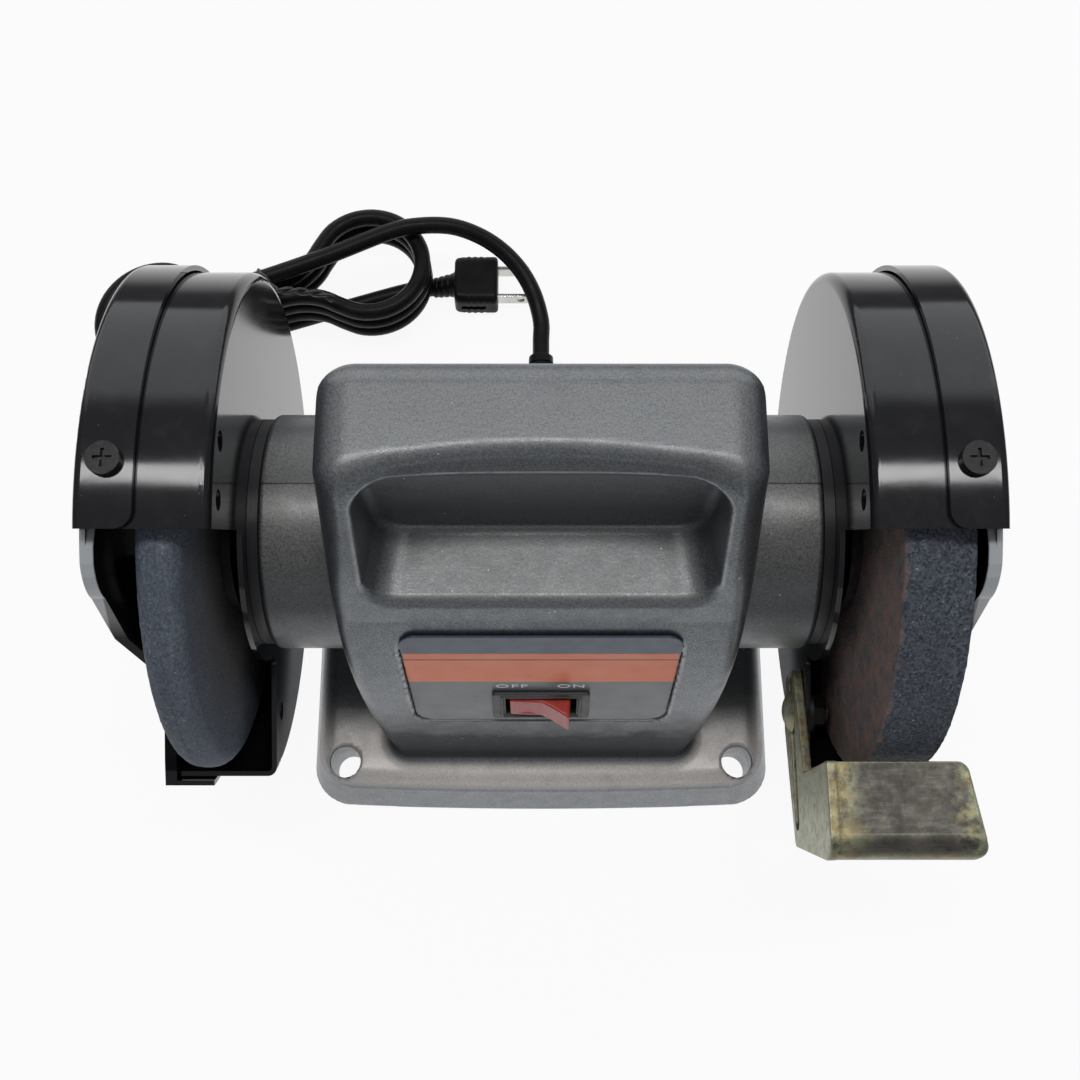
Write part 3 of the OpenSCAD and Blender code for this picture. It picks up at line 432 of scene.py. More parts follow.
def grey_paint(seam=False):
    """Hammered grey with dust, and painted shade at its foot and in its grip. An end bell's coat is darker, and
    has the seam of its casting.
    """
    f = Finish("hammered_grey_bell" if seam else "hammered_grey", IOR=1.5, Coat_Roughness=0.25)
    grain = f.ramp(f.noise(0.6, 3.0, 0.75), 0.38, 0.62)
    tone = f.mix(grain, (0.1, 0.11, 0.123), (0.23, 0.247, 0.266))
    tone = f.mix(f.ramp(f.noise(38.0, 3.0), 0.3, 0.7, 0.0, 0.4), tone, (0.125, 0.135, 0.145))
    if seam:
        tone = f.mix(0.55, tone, (0.06, 0.059, 0.056))
    # dust lies on what faces up, and most of it on the foot. It is partly painted light too: it makes the tops
    # lighter than the sides, as the overhead light would
    patchy = f.ramp(f.noise(9.0, 5.0, 0.6), 0.25, 0.75, 0.55, 0.95)
    gritty = f.ramp(f.noise(0.7, 3.0, 0.7), 0.38, 0.6, 0.15, 1.0)
    dust = f.times(f.ramp(f.up, 0.66, 0.93), patchy, gritty, f.ramp(f.z, 150.0, 180.0, 1.0, 0.75))
    foot_top = f.times(f.ramp(f.up, 0.38, 0.72), f.fall(f.z, BASE_H + 0.3, BASE_H + 1.5))
    even = f.times(f.ramp(patchy, 0.55, 0.95, 0.88, 1.0), f.ramp(gritty, 0.15, 1.0, 0.72, 1.0))
    # little dust where |y| is under 36 mm: painted shade on the base's top under the end bells and guards
    foot_dust_and_shade = f.times(foot_top, f.ramp(f.size(f.y), 36.0, 56.0, 0.1, 1.0), even)
    dust = f.math("MAXIMUM", f.times(dust, f.ramp(f.z, BASE_H + 1, BASE_H + 4)), foot_dust_and_shade)
    dust_tone = f.mix(f.ramp(f.z, BASE_H, BASE_H + 6), (0.68, 0.63, 0.592), (0.235, 0.228, 0.212))
    tone = f.mix(dust, tone, dust_tone)
    # painted shade low on the panels and the sides, and most of it in the corner where they meet the foot
    height = f.math("ADD", f.z, f.ramp(f.noise(9.0, 4.0), 0.25, 0.75, -5.0, 5.0))
    foot_shade = f.times(f.fall(height, 53.0, 84.0, 0.9), f.fall(f.up, 0.55, 0.85))
    corner = f.times(f.ramp(f.z, BASE_H + 1.4, BASE_H + 2.6), f.fall(f.z, BASE_H + 5, BASE_H + 14, 0.85))
    foot_shade = f.times(f.math("MAXIMUM", foot_shade, corner), f.ramp(f.z, BASE_H + 0.2, BASE_H + 1.5))
    # painted shadow on the base's top beside the housing, under the end bells and guards
    foot_shade = f.math("MAXIMUM", foot_shade, f.times(foot_top, f.fall(f.size(f.y), 30.0, 50.0, 0.55)))
    tone = f.mix(foot_shade, tone, (0.034, 0.037, 0.042))
    dirt = f.ramp(f.noise(14.0, 5.0, 0.65), 0.56, 0.8, 0.0, 0.35)
    tone = f.mix(dirt, tone, (0.075, 0.072, 0.062))
    # painted shade in the hand grip, on its back wall and roof, and less of it on the sloping face above the
    # grip
    grip_shade = f.times(f.fall(f.up, 0.4, 0.66, 0.55), f.ramp(f.z, GRIP_FLOOR + 4, GRIP_FLOOR + 14))
    grip_shade = f.times(grip_shade, f.fall(f.size(f.x), 38.0, 52.0), f.fall(f.y, -4.0, 4.0))
    tone = f.mix(grip_shade, tone, (0.034, 0.036, 0.04))
    worn = f.times(f.ramp(f.edge, 0.42, 0.95), f.ramp(f.noise(4.0, 4.0, 0.7), 0.3, 0.6, 0.25, 0.7))
    tone = f.mix(worn, tone, (0.36, 0.37, 0.38))
    chip = f.times(f.ramp(f.noise(1.9, 2.0), 0.742, 0.76), f.ramp(f.noise(16.0, 2.0), 0.52, 0.58))
    tone = f.mix(chip, tone, (0.62, 0.61, 0.58))
    if seam:
        seam_y = 2.9
        line = f.fall(f.size(f.math("SUBTRACT", f.y, seam_y)), 0.16, 0.34)
        tone = f.mix(f.times(line, 0.85), tone, (0.012, 0.012, 0.012))
        tone = f.mix(f.ramp(f.y, seam_y, seam_y + 0.3, 0.0, 0.3), tone, (0.092, 0.096, 0.1))
    f.set("Base Color", tone)
    # dust is no paint and mirrors little, and neither does the painted shade at the foot
    f.set("Metallic", f.times(f.ramp(dust, 0.0, 0.8, 0.78, 0.15), f.ramp(foot_shade, 0.0, 0.88, 1.0, 0.1)))
    f.set("Specular IOR Level", f.ramp(foot_shade, 0.0, 0.88, 0.5, 0.05))
    f.set("Coat Weight", f.fall(foot_shade, 0.0, 0.88, 0.2))
    f.set("Roughness", f.ramp(f.noise(5.0, 4.0), 0.3, 0.75, 0.36, 0.48))
    f.bump((f.noise(1.5, 3.0, 0.6), 0.06), (f.noise(0.5, 2.0), 0.025), (f.noise(22.0, 2.0), 0.1))
    return f


def black_paint(name="gloss_black", gloss=(0.09, 0.14), lip=False):
    """The colour lies dull under a gloss, so that the gloss alone mirrors the room."""
    f = Finish(name, Specular_IOR_Level=0.0, Coat_Weight=1.0, Coat_IOR=1.5, Coat_Roughness=sum(gloss) / 2)
    dust = f.times(f.ramp(f.noise(7.0, 6.0, 0.72), 0.48, 0.85, 0.0, 0.5), f.ramp(f.up, 0.2, 0.9))
    scuff = f.times(f.ramp(f.noise(2.6, 6.0, 0.8, at=f.stretch(0.5, 1.0, 1.0), warp=0.5), 0.64, 0.72),
                    f.ramp(f.noise(24.0, 2.0), 0.54, 0.64))
    tone = f.mix(dust, (0.008, 0.008, 0.0105), (0.034, 0.033, 0.033))
    tone = f.mix(f.times(scuff, 0.35), tone, (0.1, 0.095, 0.092))
    spot = f.ramp(f.noise(1.5, 2.0), 0.745, 0.765)
    tone = f.mix(f.times(spot, 0.4), tone, (0.16, 0.145, 0.13))
    if lip:
        # a pale strip on the turned edge of the cut-out: painted reflection of the pale floor, less of it lower
        # down
        edge = f.times(f.fall(f.sideways, 0.5, 0.7), f.fall(f.from_shaft(), 79.0, 79.5))
        start = f.ramp(f.z, AXIS + 36, AXIS + 60, COVER_X - 0.1, COVER_X - 3.9)
        pale = f.times(f.ramp(f.math("SUBTRACT", f.size(f.x), start), 0.0, 0.5), edge)
        pale = f.times(pale, f.ramp(f.y, -14.0, -17.0), f.ramp(f.z, AXIS + 34, AXIS + 48))
        tone = f.mix(pale, tone, (0.43, 0.45, 0.47))
        # and lower down, the edge has lost its gloss
        dull = f.times(f.fall(f.z, AXIS + 32, AXIS + 46, 0.95), edge, f.ramp(f.y, -8.0, -14.0))
        f.set("Coat Weight", f.math("SUBTRACT", 1.0, dull))
    f.set("Base Color", tone)
    haze = f.ramp(f.noise(11.0, 5.0, 0.7), 0.3, 0.8, *gloss)
    f.set("Coat Roughness", f.math("ADD", haze, f.times(scuff, 0.25)))
    f.bump((f.noise(0.8, 3.0), 0.002), (f.noise(34.0, 1.0), 0.1))
    return f


def metal(name, tone, dark, rough=(0.24, 0.45)):
    f = Finish(name, Metallic=1.0)
    f.set("Base Color", f.mix(f.ramp(f.noise(6.0, 5.0, 0.65), 0.3, 0.75), tone, dark))
    f.set("Roughness", f.ramp(f.noise(3.0, 4.0), 0.3, 0.7, *rough))
    f.bump((f.noise(0.7, 3.0), 0.02))
    return f


def plain(name, tone, dark, rough, size=4.0, grain=0.02, **settings):
    """A coat or a plastic in two tones. Size is that of its patches, and grain the depth of its bumps."""
    f = Finish(name, **settings)
    f.set("Base Color", f.mix(f.ramp(f.noise(size, 5.0, 0.6), 0.32, 0.72), tone, dark))
    f.set("Roughness", f.ramp(f.noise(size * 0.7, 4.0), 0.3, 0.7, *rough))
    f.bump((f.noise(0.6, 3.0), grain))
    return f


def stone(name, tone, dark, light, rust, worn):
    """Grit in three tones. Rust is (start, end, colour, colour) along X, or None for painted shade: a middle
    that is darker, deep in the guard.
    """
    f = Finish(name, IOR=1.45)
    grit = f.cells(0.62, output="Color")
    colour = f.mix(f.ramp(grit, 0.1, 0.9), dark, tone)
    colour = f.mix(f.ramp(f.cells(0.55, output="Color"), 0.86, 1.0, 0.0, 0.75), colour, light)
    colour = f.mix(f.ramp(f.noise(17.0, 5.0, 0.65), 0.4, 0.75, 0.0, 0.45), colour, dark)
    if rust:
        start, end, red, brown = rust
        ragged = f.math("ADD", f.x, f.ramp(f.noise(5.0, 5.0, 0.65), 0.2, 0.8, -1.6, 1.6))
        stain = f.mix(f.ramp(f.noise(6.0, 5.0, 0.7), 0.35, 0.65), red, brown)
        stain = f.mix(f.ramp(grit, 0.2, 0.9, 0.0, 0.35), stain, tone)
        colour = f.mix(f.fall(ragged, start, end, 0.95), colour, stain)
    else:
        # painted shade: darker and browner towards the middle, deep inside the guard
        out = f.math("SUBTRACT", f.from_shaft(), f.ramp(f.noise(9.0, 4.0), 0.2, 0.8, -9.0, 9.0))
        colour = f.mix(f.fall(out, 46.0, 68.0, 0.62), colour, (0.088, 0.076, 0.066))
    f.set("Base Color", colour)
    f.set("Roughness", f.ramp(f.noise(2.0, 3.0), 0.3, 0.7, 0.74 - worn, 0.95 - worn))
    f.bump((f.cells(0.8), 0.24 - worn * 0.6), (f.noise(0.5, 3.0), 0.08), (f.noise(6.0, 3.0), 0.3))
    return f


def zinc_plate():
    """Yellow zinc plating, worn through to dark steel on the rest's table."""
    f = Finish("zinc", Metallic=0.6)
    wear = f.noise(11.0, 6.0, 0.7, warp=0.9)
    colour = f.mix(f.ramp(wear, 0.38, 0.62), (0.122, 0.112, 0.094), (0.062, 0.057, 0.051))
    streak = f.noise(2.0, 6.0, 0.72, at=f.stretch(0.16, 1.0, 1.0), warp=0.2)
    colour = f.mix(f.ramp(streak, 0.5, 0.66, 0.0, 0.6), colour, (0.19, 0.172, 0.145))
    # plating is left at the ends of the table and on what doesn't face up
    ragged = f.math("ADD", f.x, f.ramp(f.noise(6.0, 4.0, 0.65), 0.2, 0.8, -6.0, 6.0))
    from_middle = f.size(f.math("SUBTRACT", ragged, 109.0))
    at_ends = f.times(f.ramp(from_middle, 13.0, 19.0), f.ramp(f.noise(3.0, 5.0, 0.7), 0.3, 0.56))
    upright = f.times(f.fall(f.up, 0.3, 0.75), f.ramp(f.noise(5.0, 5.0, 0.65), 0.34, 0.56, 0.45, 0.95))
    plate = f.mix(f.ramp(f.noise(7.0, 4.0, 0.6), 0.38, 0.62), (0.33, 0.27, 0.13), (0.3, 0.325, 0.215))
    plate = f.mix(f.times(f.ramp(f.sideways, 0.75, 0.95), 0.85), plate, (0.56, 0.58, 0.44))
    colour = f.mix(f.math("MAXIMUM", at_ends, upright), colour, plate)
    smudge = f.ramp(f.noise(4.5, 6.0, 0.74), 0.55, 0.7, 0.0, 0.65)
    colour = f.mix(smudge, colour, (0.05, 0.046, 0.041))
    worn = f.ramp(f.edge, 0.5, 1.2, 0.0, 0.55)
    colour = f.mix(worn, colour, (0.4, 0.36, 0.27))
    f.set("Base Color", colour)
    f.set("Roughness", f.ramp(f.noise(4.0, 5.0, 0.7), 0.3, 0.75, 0.36, 0.62))
    f.bump((f.noise(0.9, 4.0, 0.7), 0.05), (f.noise(1.0, 4.0, 0.7, at=f.stretch(0.06, 1.3, 1.3)), 0.03))
    return f


def label_print():
    """From the label's foot up: grey, orange with a dark line in it, and dark."""
    f = Finish("label_print", IOR=1.5, Coat_Weight=0.15, Coat_Roughness=0.25)
    # heights on the label start 2 mm below the panel's middle
    up = f.vector("DOT_PRODUCT", f.place, PANEL_UP)["Value"]
    height = f.math("SUBTRACT", up, np.dot(PANEL_MID, PANEL_UP) - 2.0)
    tone = f.mix(f.ramp(f.noise(20.0, 4.0), 0.3, 0.7), (0.13, 0.137, 0.144), (0.16, 0.167, 0.172))
    above_grey = f.ramp(height, -2.6, -2.3)
    tone = f.mix(above_grey, tone, (0.8, 0.18, 0.058))
    tone = f.mix(f.times(f.ramp(height, 12.6, 12.8), f.ramp(height, 13.6, 13.4)), tone, (0.1, 0.035, 0.025))
    tone = f.mix(f.ramp(height, 17.0, 17.3), tone, (0.048, 0.064, 0.11))
    # the orange ends a little before the label does, in a dark edge
    for end, inward in ((-42.4, 0.3), (42.4, -0.3)):
        outside = f.math("SUBTRACT", 1.0, f.ramp(f.x, end, end + inward))
        tone = f.mix(f.times(outside, above_grey, f.ramp(height, 17.2, 17.0)), tone, (0.052, 0.06, 0.078))
    scratch = f.ramp(f.noise(0.9, 5.0, 0.8, at=f.stretch(0.15, 1.0, 1.0)), 0.66, 0.72, 0.0, 0.5)
    tone = f.mix(scratch, tone, (0.26, 0.26, 0.26))
    rub = f.ramp(f.noise(5.0, 6.0, 0.75), 0.6, 0.74, 0.0, 0.35)
    tone = f.mix(rub, tone, (0.19, 0.17, 0.16))
    f.set("Base Color", tone)
    f.set("Roughness", f.ramp(f.noise(6.0, 4.0), 0.3, 0.7, 0.3, 0.46))
    f.bump((f.noise(0.7, 2.0), 0.01))
    return f


GREY = grey_paint()
BELL = grey_paint(seam=True)
BLACK = black_paint()
COVER = black_paint("gloss_black_cover", lip=True)
SATIN = black_paint("satin_black", (0.4, 0.5))
SCREW = plain("black_screws", (0.012, 0.012, 0.013), (0.026, 0.025, 0.024), (0.22, 0.4), 1.5,
              Specular_IOR_Level=0.15)
# steel painted dark as shade: the inner flanges, and the rest's nut and washer, lie in shadow and take this
# dark coat
SHADE_DARK_STEEL = metal("shade_dark_steel", (0.052, 0.05, 0.05), (0.03, 0.029, 0.029), (0.4, 0.6))
STEEL = metal("steel", (0.56, 0.56, 0.57), (0.42, 0.42, 0.42))
BEARING = metal("bearing_steel", (0.66, 0.66, 0.67), (0.52, 0.52, 0.53), (0.14, 0.24))
CORE = metal("core_steel", (0.26, 0.25, 0.24), (0.17, 0.16, 0.15), (0.4, 0.6))
COPPER = metal("copper_wire", (0.52, 0.22, 0.09), (0.33, 0.12, 0.05), (0.25, 0.4))
CAN = metal("capacitor_case", (0.7, 0.7, 0.69), (0.58, 0.58, 0.57))
SWITCH = plain("switch_black", (0.022, 0.022, 0.024), (0.036, 0.036, 0.038), (0.34, 0.5), 3.0, 0.01)
RED = plain("rocker_red", (0.46, 0.04, 0.026), (0.33, 0.03, 0.02), (0.26, 0.42), 3.0, 0.012,
            Coat_Weight=0.2, Coat_Roughness=0.25)
RUBBER = plain("cord_rubber", (0.007, 0.007, 0.0078), (0.012, 0.012, 0.0125), (0.3, 0.45), 6.0, 0.02,
               Specular_IOR_Level=0.12)
WIRE = plain("tie_wire", (0.012, 0.012, 0.012), (0.03, 0.03, 0.03), (0.3, 0.45), 2.0, 0.02)
ZINC = zinc_plate()
PIN = metal("pin_nickel", (0.66, 0.65, 0.62), (0.5, 0.49, 0.46), (0.18, 0.32))
WHITE_INK = plain("white_ink", (0.84, 0.86, 0.88), (0.66, 0.68, 0.7), (0.4, 0.55), 1.2, 0.01)
PRINT = label_print()
STONE_R = stone("stone_right", (0.124, 0.14, 0.168), (0.027, 0.033, 0.046), (0.38, 0.41, 0.46),
                (WHEEL_X - 0.3, WHEEL_X + 1.3, (0.29, 0.165, 0.128), (0.155, 0.13, 0.12)), 0.0)
STONE_L = stone("stone_left", (0.14, 0.164, 0.204), (0.06, 0.073, 0.098), (0.34, 0.38, 0.44), None, 0.12)


def pair(*names):
    """The node of each name on the left and on the right."""
    return [name + side for name in names for side in ("_left", "_right")]


for finish, coated in (
    (GREY, ["housing"]), (BELL, pair("end_bell")), (BLACK, pair("guard_shell")), (COVER, pair("guard_cover")),
    (SATIN, pair("guard_spacer")), (SCREW, pair("guard_screws", "cover_screw")),
    (STEEL, ["bottom_plate", "bottom_plate_screws", "capacitor_clip", "shaft"]),
    (STEEL, pair("outer_flange", "arbor_nut")), (BEARING, pair("bearing")),
    # painted shade: these parts sit in shadow and take the dark steel
    (SHADE_DARK_STEEL, [*pair("inner_flange"), "rest_washer", "rest_nut"]),
    (CORE, ["stator_core", "rotor"]), (COPPER, ["stator_windings"]), (CAN, ["capacitor"]),
    (PRINT, ["label_plate"]), (SWITCH, ["switch_body"]), (RED, ["switch_rocker"]),
    (STONE_R, ["wheel_right"]), (STONE_L, ["wheel_left"]), (ZINC, ["rest_bracket", "rest_bolt"]),
    (RUBBER, ["cord_gland", "cord_tube", "cord_hank", "plug_body"]), (WIRE, ["cord_tie"]), (PIN, ["plug_pins"]),
):
    for node in coated:
        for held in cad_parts[node].material_slots:
            held.material = finish.material

# rounds the heads of the screws
for node in pair("cover_screw", "guard_screws"):
    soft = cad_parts[node].modifiers.new("round", "BEVEL")
    soft.width = 0.7 * MM
    soft.segments = 3
    soft.limit_method = "ANGLE"

# gives the bent edges of the sheet their even shading
for node in pair("guard_shell", "guard_cover"):
    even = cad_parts[node].modifiers.new("even_shading", "WEIGHTED_NORMAL")
    even.keep_sharp = True


# ---- cord ----

# The free length, as part.scad has it, from the gland to the top of the hank
CORD = [(0, 105, 13), (0, 113, 13), (0, 121, 13.5), (-3, 132, 16), (-8.5, 141.5, 19), (-16.5, 149, 22.5),
        (-26, 153.5, 26.5), (-37, 155.5, 30), (-50, 154.5, 31.9), (-62, 151.5, 32)]
HANK_RIGHT = Vector((-70.0, 141.0))
HANK_LEFT = Vector((-153.0, 113.0))
CORD_R = 3.4
PLUG = (-36.0, 141.0, 7.0)
FOLD = 21.6     # radius of the folds
SWAY = 28.6     # radius of the bends between a fold and the waist
WAIST = 3.9     # from the hank's middle line to a run at the waist
LEVELS = [31.6, 24.6, 17.6, 10.6, 3.5]    # heights of the runs, from the top down
# the run's last stretch, from the waist to the plug, in the hank's own places
LAST_RUN = [(18, -4.1, 3.5), (32, -4.7, 3.5), (46, -5.0, 3.5), (57, -5.5, 3.5), (64, -6.9, 3.6)]
INTO_PLUG = [(-43.5, 141, 4.5), (-38, 141, 6.3)]
hank_mid = (HANK_RIGHT + HANK_LEFT) / 2
hank_u = (HANK_RIGHT - HANK_LEFT).normalized()
hank_half = (HANK_RIGHT - HANK_LEFT).length / 2
# a bend meets the waist's straight line here, and its fold at this angle
waist_end = hank_half - sqrt((FOLD + SWAY) ** 2 - (WAIST + SWAY) ** 2)
fold_deg = degrees(atan2(WAIST + SWAY, waist_end - hank_half))


def in_hank(u, v, z):
    """A place from the hank's middle: u along it, v across it and z above the bench."""
    p = hank_mid + hank_u * u + Vector((-hank_u.y, hank_u.x)) * v
    return (p.x, p.y, z)


def bow(u, v, r, a0, a1, z0, z1, steps):
    """An arc around (u, v) from angle a0 to a1, in degrees, going from height z0 to z1."""
    out = []
    for i in range(steps + 1):
        a = radians(a0 + (a1 - a0) * i / steps)
        out.append((u + r * cos(a), v + r * sin(a), z0 + (z1 - z0) * i / steps))
    return out


def run(z):
    """From the right fold along the back of the hank to the left fold, at one height."""
    right = bow(waist_end, WAIST + SWAY, SWAY, fold_deg - 180, -90, z, z, 4)[1:]
    left = bow(-waist_end, WAIST + SWAY, SWAY, -90, -fold_deg, z, z, 4)[:-1]
    return right + left


def run_back(z):
    """From the left fold along the front of the hank to the right fold."""
    return [(-u, -v, height) for u, v, height in run(z)]


def left_fold(z0, z1):
    return bow(-hank_half, 0, FOLD, 180 - fold_deg, 180 + fold_deg, z0, z1, 12)


def right_fold(z):
    return bow(hank_half, 0, FOLD, -fold_deg, fold_deg, z, z, 12)


# the cord comes onto the back of the hank, goes around it level by level and ends on the bench
coil = [(30, 5.2, LEVELS[0] + 0.1)] + run(LEVELS[0])[3:]
for above, below in zip(LEVELS, LEVELS[1:]):
    coil += left_fold(above, below)
    if below != LEVELS[-1]:
        coil += run_back(below) + right_fold(below) + run(below)
coil += run_back(LEVELS[-1])[:4] + LAST_RUN
path = smooth_path(CORD + [in_hank(*p) for p in coil] + INTO_PLUG, 2.4)
cord_length = sum((b - a).length for a, b in zip(path, path[1:]))
lead = curve_of("power_cord", path, CORD_R, "base", RUBBER)
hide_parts("cord_tube", "cord_hank")


# ---- plug, tie and gland ----


def cone(x, y, z, a, b, ra, rb):
    """A round bar from a to b, with a radius at each end."""
    a, b = np.array(a, dtype=float), np.array(b, dtype=float)
    ax = b - a
    length = np.linalg.norm(ax)
    ax /= length
    px, py, pz = x - a[0], y - a[1], z - a[2]
    t = px * ax[0] + py * ax[1] + pz * ax[2]
    r = np.sqrt(np.maximum(px * px + py * py + pz * pz - t * t, 0))
    want = ra + (rb - ra) * np.clip(t / length, 0, 1)
    return common(r - want, -t, t - length)


def plug_form(x, y, z):
    """A grip with a groove around it, and a neck that leans down to the cord."""
    x, y, z = x - PLUG[0], y - PLUG[1], z - PLUG[2]
    length, half_h, neck_len, neck_lean = 18.0, 6.9, 9.5, 0.314
    ribs = 0.175 * np.sin(x * 2 * pi / 2.6) * ((x > 3.5) & (x < 13))
    half_w = 10.75 - 1.4 * np.clip((6 - x) / 8, 0, 1) ** 2
    body = both(abs(y) - half_w - ribs, abs(z) - half_h, 3.4)
    body = both(body, abs(x - length / 2) - length / 2, 1.6)
    groove = both(abs(z) - 1.0, 8.7 - abs(y), 0.4)
    body = less(body, common(groove, abs(x - 8) - 5), 0.4)
    neck_end = (-neck_len * cos(neck_lean), 0, -neck_len * sin(neck_lean))
    neck = cone(x, y, z, (2, 0, 0.6), neck_end, 5.2, 4.1)
    rings = np.maximum(0, np.cos(x * 2 * pi / 2.4)) * 0.35 * (x < -1.0)
    return either(body, neck + rings, 1.2)


plug = add("plug", skin(plug_form, (-48, 128, -1.2), (-16, 154, 15.5), 0.5), "base",
           RUBBER)
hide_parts("plug_body")


def pins_form(x, y, z):
    """Two flat blades, each with a hole near its end."""
    x, y, z = x - PLUG[0], y - PLUG[1], z - PLUG[2]
    apart, thick, wide, root, tip = 12.7, 1.5, 6.3, 14.5, 31.0
    blade = both(abs(abs(y) - apart / 2) - thick / 2, abs(z) - wide / 2, 0.2)
    blade = both(blade, x - tip, 0.5)
    return common(less(blade, np.hypot(x - tip + 3.4, z) - 1.5, 0.15), root - x)


pins = add("plug_blades", skin(pins_form, (-23, 133, 2.5), (-4, 149, 11.5), 0.3), "base",
           PIN)
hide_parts("plug_pins")

TIE_R = 0.8


def twist_tie(name, half_wide, low, high, tail):
    """Covered wire around the runs at the hank's waist, with its two ends twisted into a tail."""
    middle, reach = (low + high) / 2, (high - low) / 2
    around = []
    for i in range(41):
        a = 2 * pi * i / 40 + 0.9
        # a power below 1 makes the ring a box with round corners
        across, up = [copysign(abs(s) ** 0.55, s) for s in (cos(a), sin(a))]
        around.append(in_hank(0.7 * sin(a + 0.3), half_wide * across, max(middle + reach * up, low)))
    wires = [around]
    for start, k in ((around[1], 0), (around[-2], 1)):
        axis = smooth_path([start] + tail, 1.2)
        wire = []
        for i, p in enumerate(axis):
            ahead = (axis[min(i + 1, len(axis) - 1)] - axis[max(i - 1, 0)]).normalized()
            side = ahead.cross(Vector((0, 0, 1))).normalized()
            a = i * 0.62 + pi * k
            swing = side * cos(a) + side.cross(ahead) * sin(a)
            wire.append(p + swing * 0.85 * min(1.0, i / 3))
        wires.append(wire)
    return [curve_of(f"{name}_{i}", wire, TIE_R, "base", WIRE, 3)
            for i, wire in enumerate(wires)]


tie = twist_tie("hank_tie", 8.3, 0.9, 36.2, [(-106.5, 124, 36.6), (-99, 122.5, 37.0), (-90, 122.0, 36.6),
                                             (-82, 119.5, 36.0)])
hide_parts("cord_tie")


def gland_form(x, y, z):
    """A tapered sleeve with slots on alternate sides, and the collar that holds it in the base."""
    seat, end, pitch, first_slot = 71.6, 105.0, 3.4, 79.5
    z = z - GLAND_Z
    r = np.hypot(x, z)
    taper = 1.2 * np.clip((y - 75.0) / 30.0, 0, 1)
    sleeve = common(r - 6.1 + taper, abs(y - 88) - 17)
    slots = common(abs((y - first_slot) % pitch - pitch / 2) - 0.65, first_slot - 0.5 - y, y - 101.5, 4.55 - r)
    even = np.floor((y - first_slot) / pitch) % 2 == 0
    bridge = np.where(even, abs(x) - 5.0, abs(z) - 5.0)
    sleeve = less(sleeve, common(slots, bridge), 0.25)
    collar = both(both(r - 6.5, abs(y - seat - 2.3) - 2.3, 0.7), r - 6.5, 0.2)
    return less(either(both(sleeve, y - end, 0.5), collar, 0.4), r - CORD_R, 0.1)


gland = add("strain_relief", skin(gland_form, (-7.5, 70.5, 5.5), (7.5, 106, 20.5), 0.45), "base",
            RUBBER)
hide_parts("cord_gland")


# ---- floor, world and lamps ----


def by_ray(tree, *kinds):
    """1 for a ray of one of these kinds, and 0 for any other."""
    rays = tree.new("LightPath").outputs
    return reduce(lambda a, b: tree.math("MAXIMUM", a, b), [rays[f"Is {kind} Ray"] for kind in kinds])


def show(tree, output, factor, first, second):
    """Gives the output the first shader where the factor is 0, and the second where it is 1."""
    mix = tree.new("MixShader")
    for value, socket in zip((factor, first.outputs[0], second.outputs[0]), mix.inputs):
        tree.links.new(value, socket)
    tree.new(output, Surface=mix.outputs[0])


WHITE = (1.0, 1.0, 1.0, 1.0)
world = bpy.data.worlds.new("studio")
scene.world = world
room = Nodes(world)
room.nodes.clear()
# the room gives more light from overhead than from its sides, and its back is pale low down
way = room.new("SeparateXYZ", Vector=room.new("TexCoord").outputs["Generated"]).outputs
back = room.times(room.ramp(way["Y"], 0.45, 0.62, 0.0, 1.05, "SMOOTHSTEP"),
                  room.ramp(way["Z"], 0.7, 0.81, 1.0, 0.0, "SMOOTHSTEP"))
level = room.math("ADD", room.ramp(way["Z"], 0.0, 0.95, 0.14, 0.28, "SMOOTHSTEP"), back)
soft = room.new("Background", Color=(0.96, 0.98, 1.0, 1.0), Strength=level)
white = room.new("Background", Color=WHITE)
show(room, "OutputWorld", by_ray(room, "Camera", "Transmission"), soft, white)

half, drop = 4.0, 0.0004    # in metres; the drop keeps the floor clear of the base's underside
corners = [(x, y, -drop) for x, y in ((-half, -half), (half, -half), (half, half), (-half, half))]
floor_mesh = bpy.data.meshes.new("floor")
floor_mesh.from_pydata(corners, [], [(0, 1, 2, 3)])
floor = bpy.data.objects.new("floor", floor_mesh)
scene.collection.objects.link(floor)
pale = bpy.data.materials.new("floor")
floor_mesh.materials.append(pale)
paint = Nodes(pale)
paint.nodes.clear()
diffuse = paint.new("BsdfDiffuse", Color=(0.82, 0.82, 0.82, 1.0))
# what mirrors the floor sees its pale middle, and a room that is darker farther out
reach = paint.vector("LENGTH", paint.new("TexCoord").outputs["Object"])["Value"]
mirrored = paint.times(by_ray(paint, "Glossy"), paint.ramp(reach, 0.26, 0.75, 1.0, 0.1, "SMOOTHSTEP"))
seen = by_ray(paint, "Camera", "Transmission")
glow = paint.new("Emission", Color=WHITE, Strength=paint.math("MAXIMUM", seen, mirrored))
shown = by_ray(paint, "Camera", "Glossy", "Transmission")
show(paint, "OutputMaterial", paint.times(shown, 0.92), diffuse, glow)


def lamp(name, place, aim, size, power):
    data = bpy.data.lights.new(name, "AREA")
    data.shape = "RECTANGLE"
    data.size, data.size_y = size
    data.energy = power
    it = bpy.data.objects.new(name, data)
    it.location = place
    it.rotation_euler = (Vector(aim) - Vector(place)).to_track_quat("-Z", "Y").to_euler()
    scene.collection.objects.link(it)


lamp("overhead", (0.0, 0.15, 1.75), (0, 0, 0.1), (1.6, 0.22), 12.0)
lamp("front", (0.1, -1.6, 0.4), (0, 0, 0.08), (1.6, 0.7), 1.6)


# ---- housing ----


def half_depth(h):
    """Half of the housing's depth at a height above the base, and the lean of its panels there."""
    lean = np.arcsin(sin(PANEL_LEAN) + h / PANEL_R)
    return FOOT_D / 2 - PANEL_R * (cos(PANEL_LEAN) - np.cos(lean)), lean


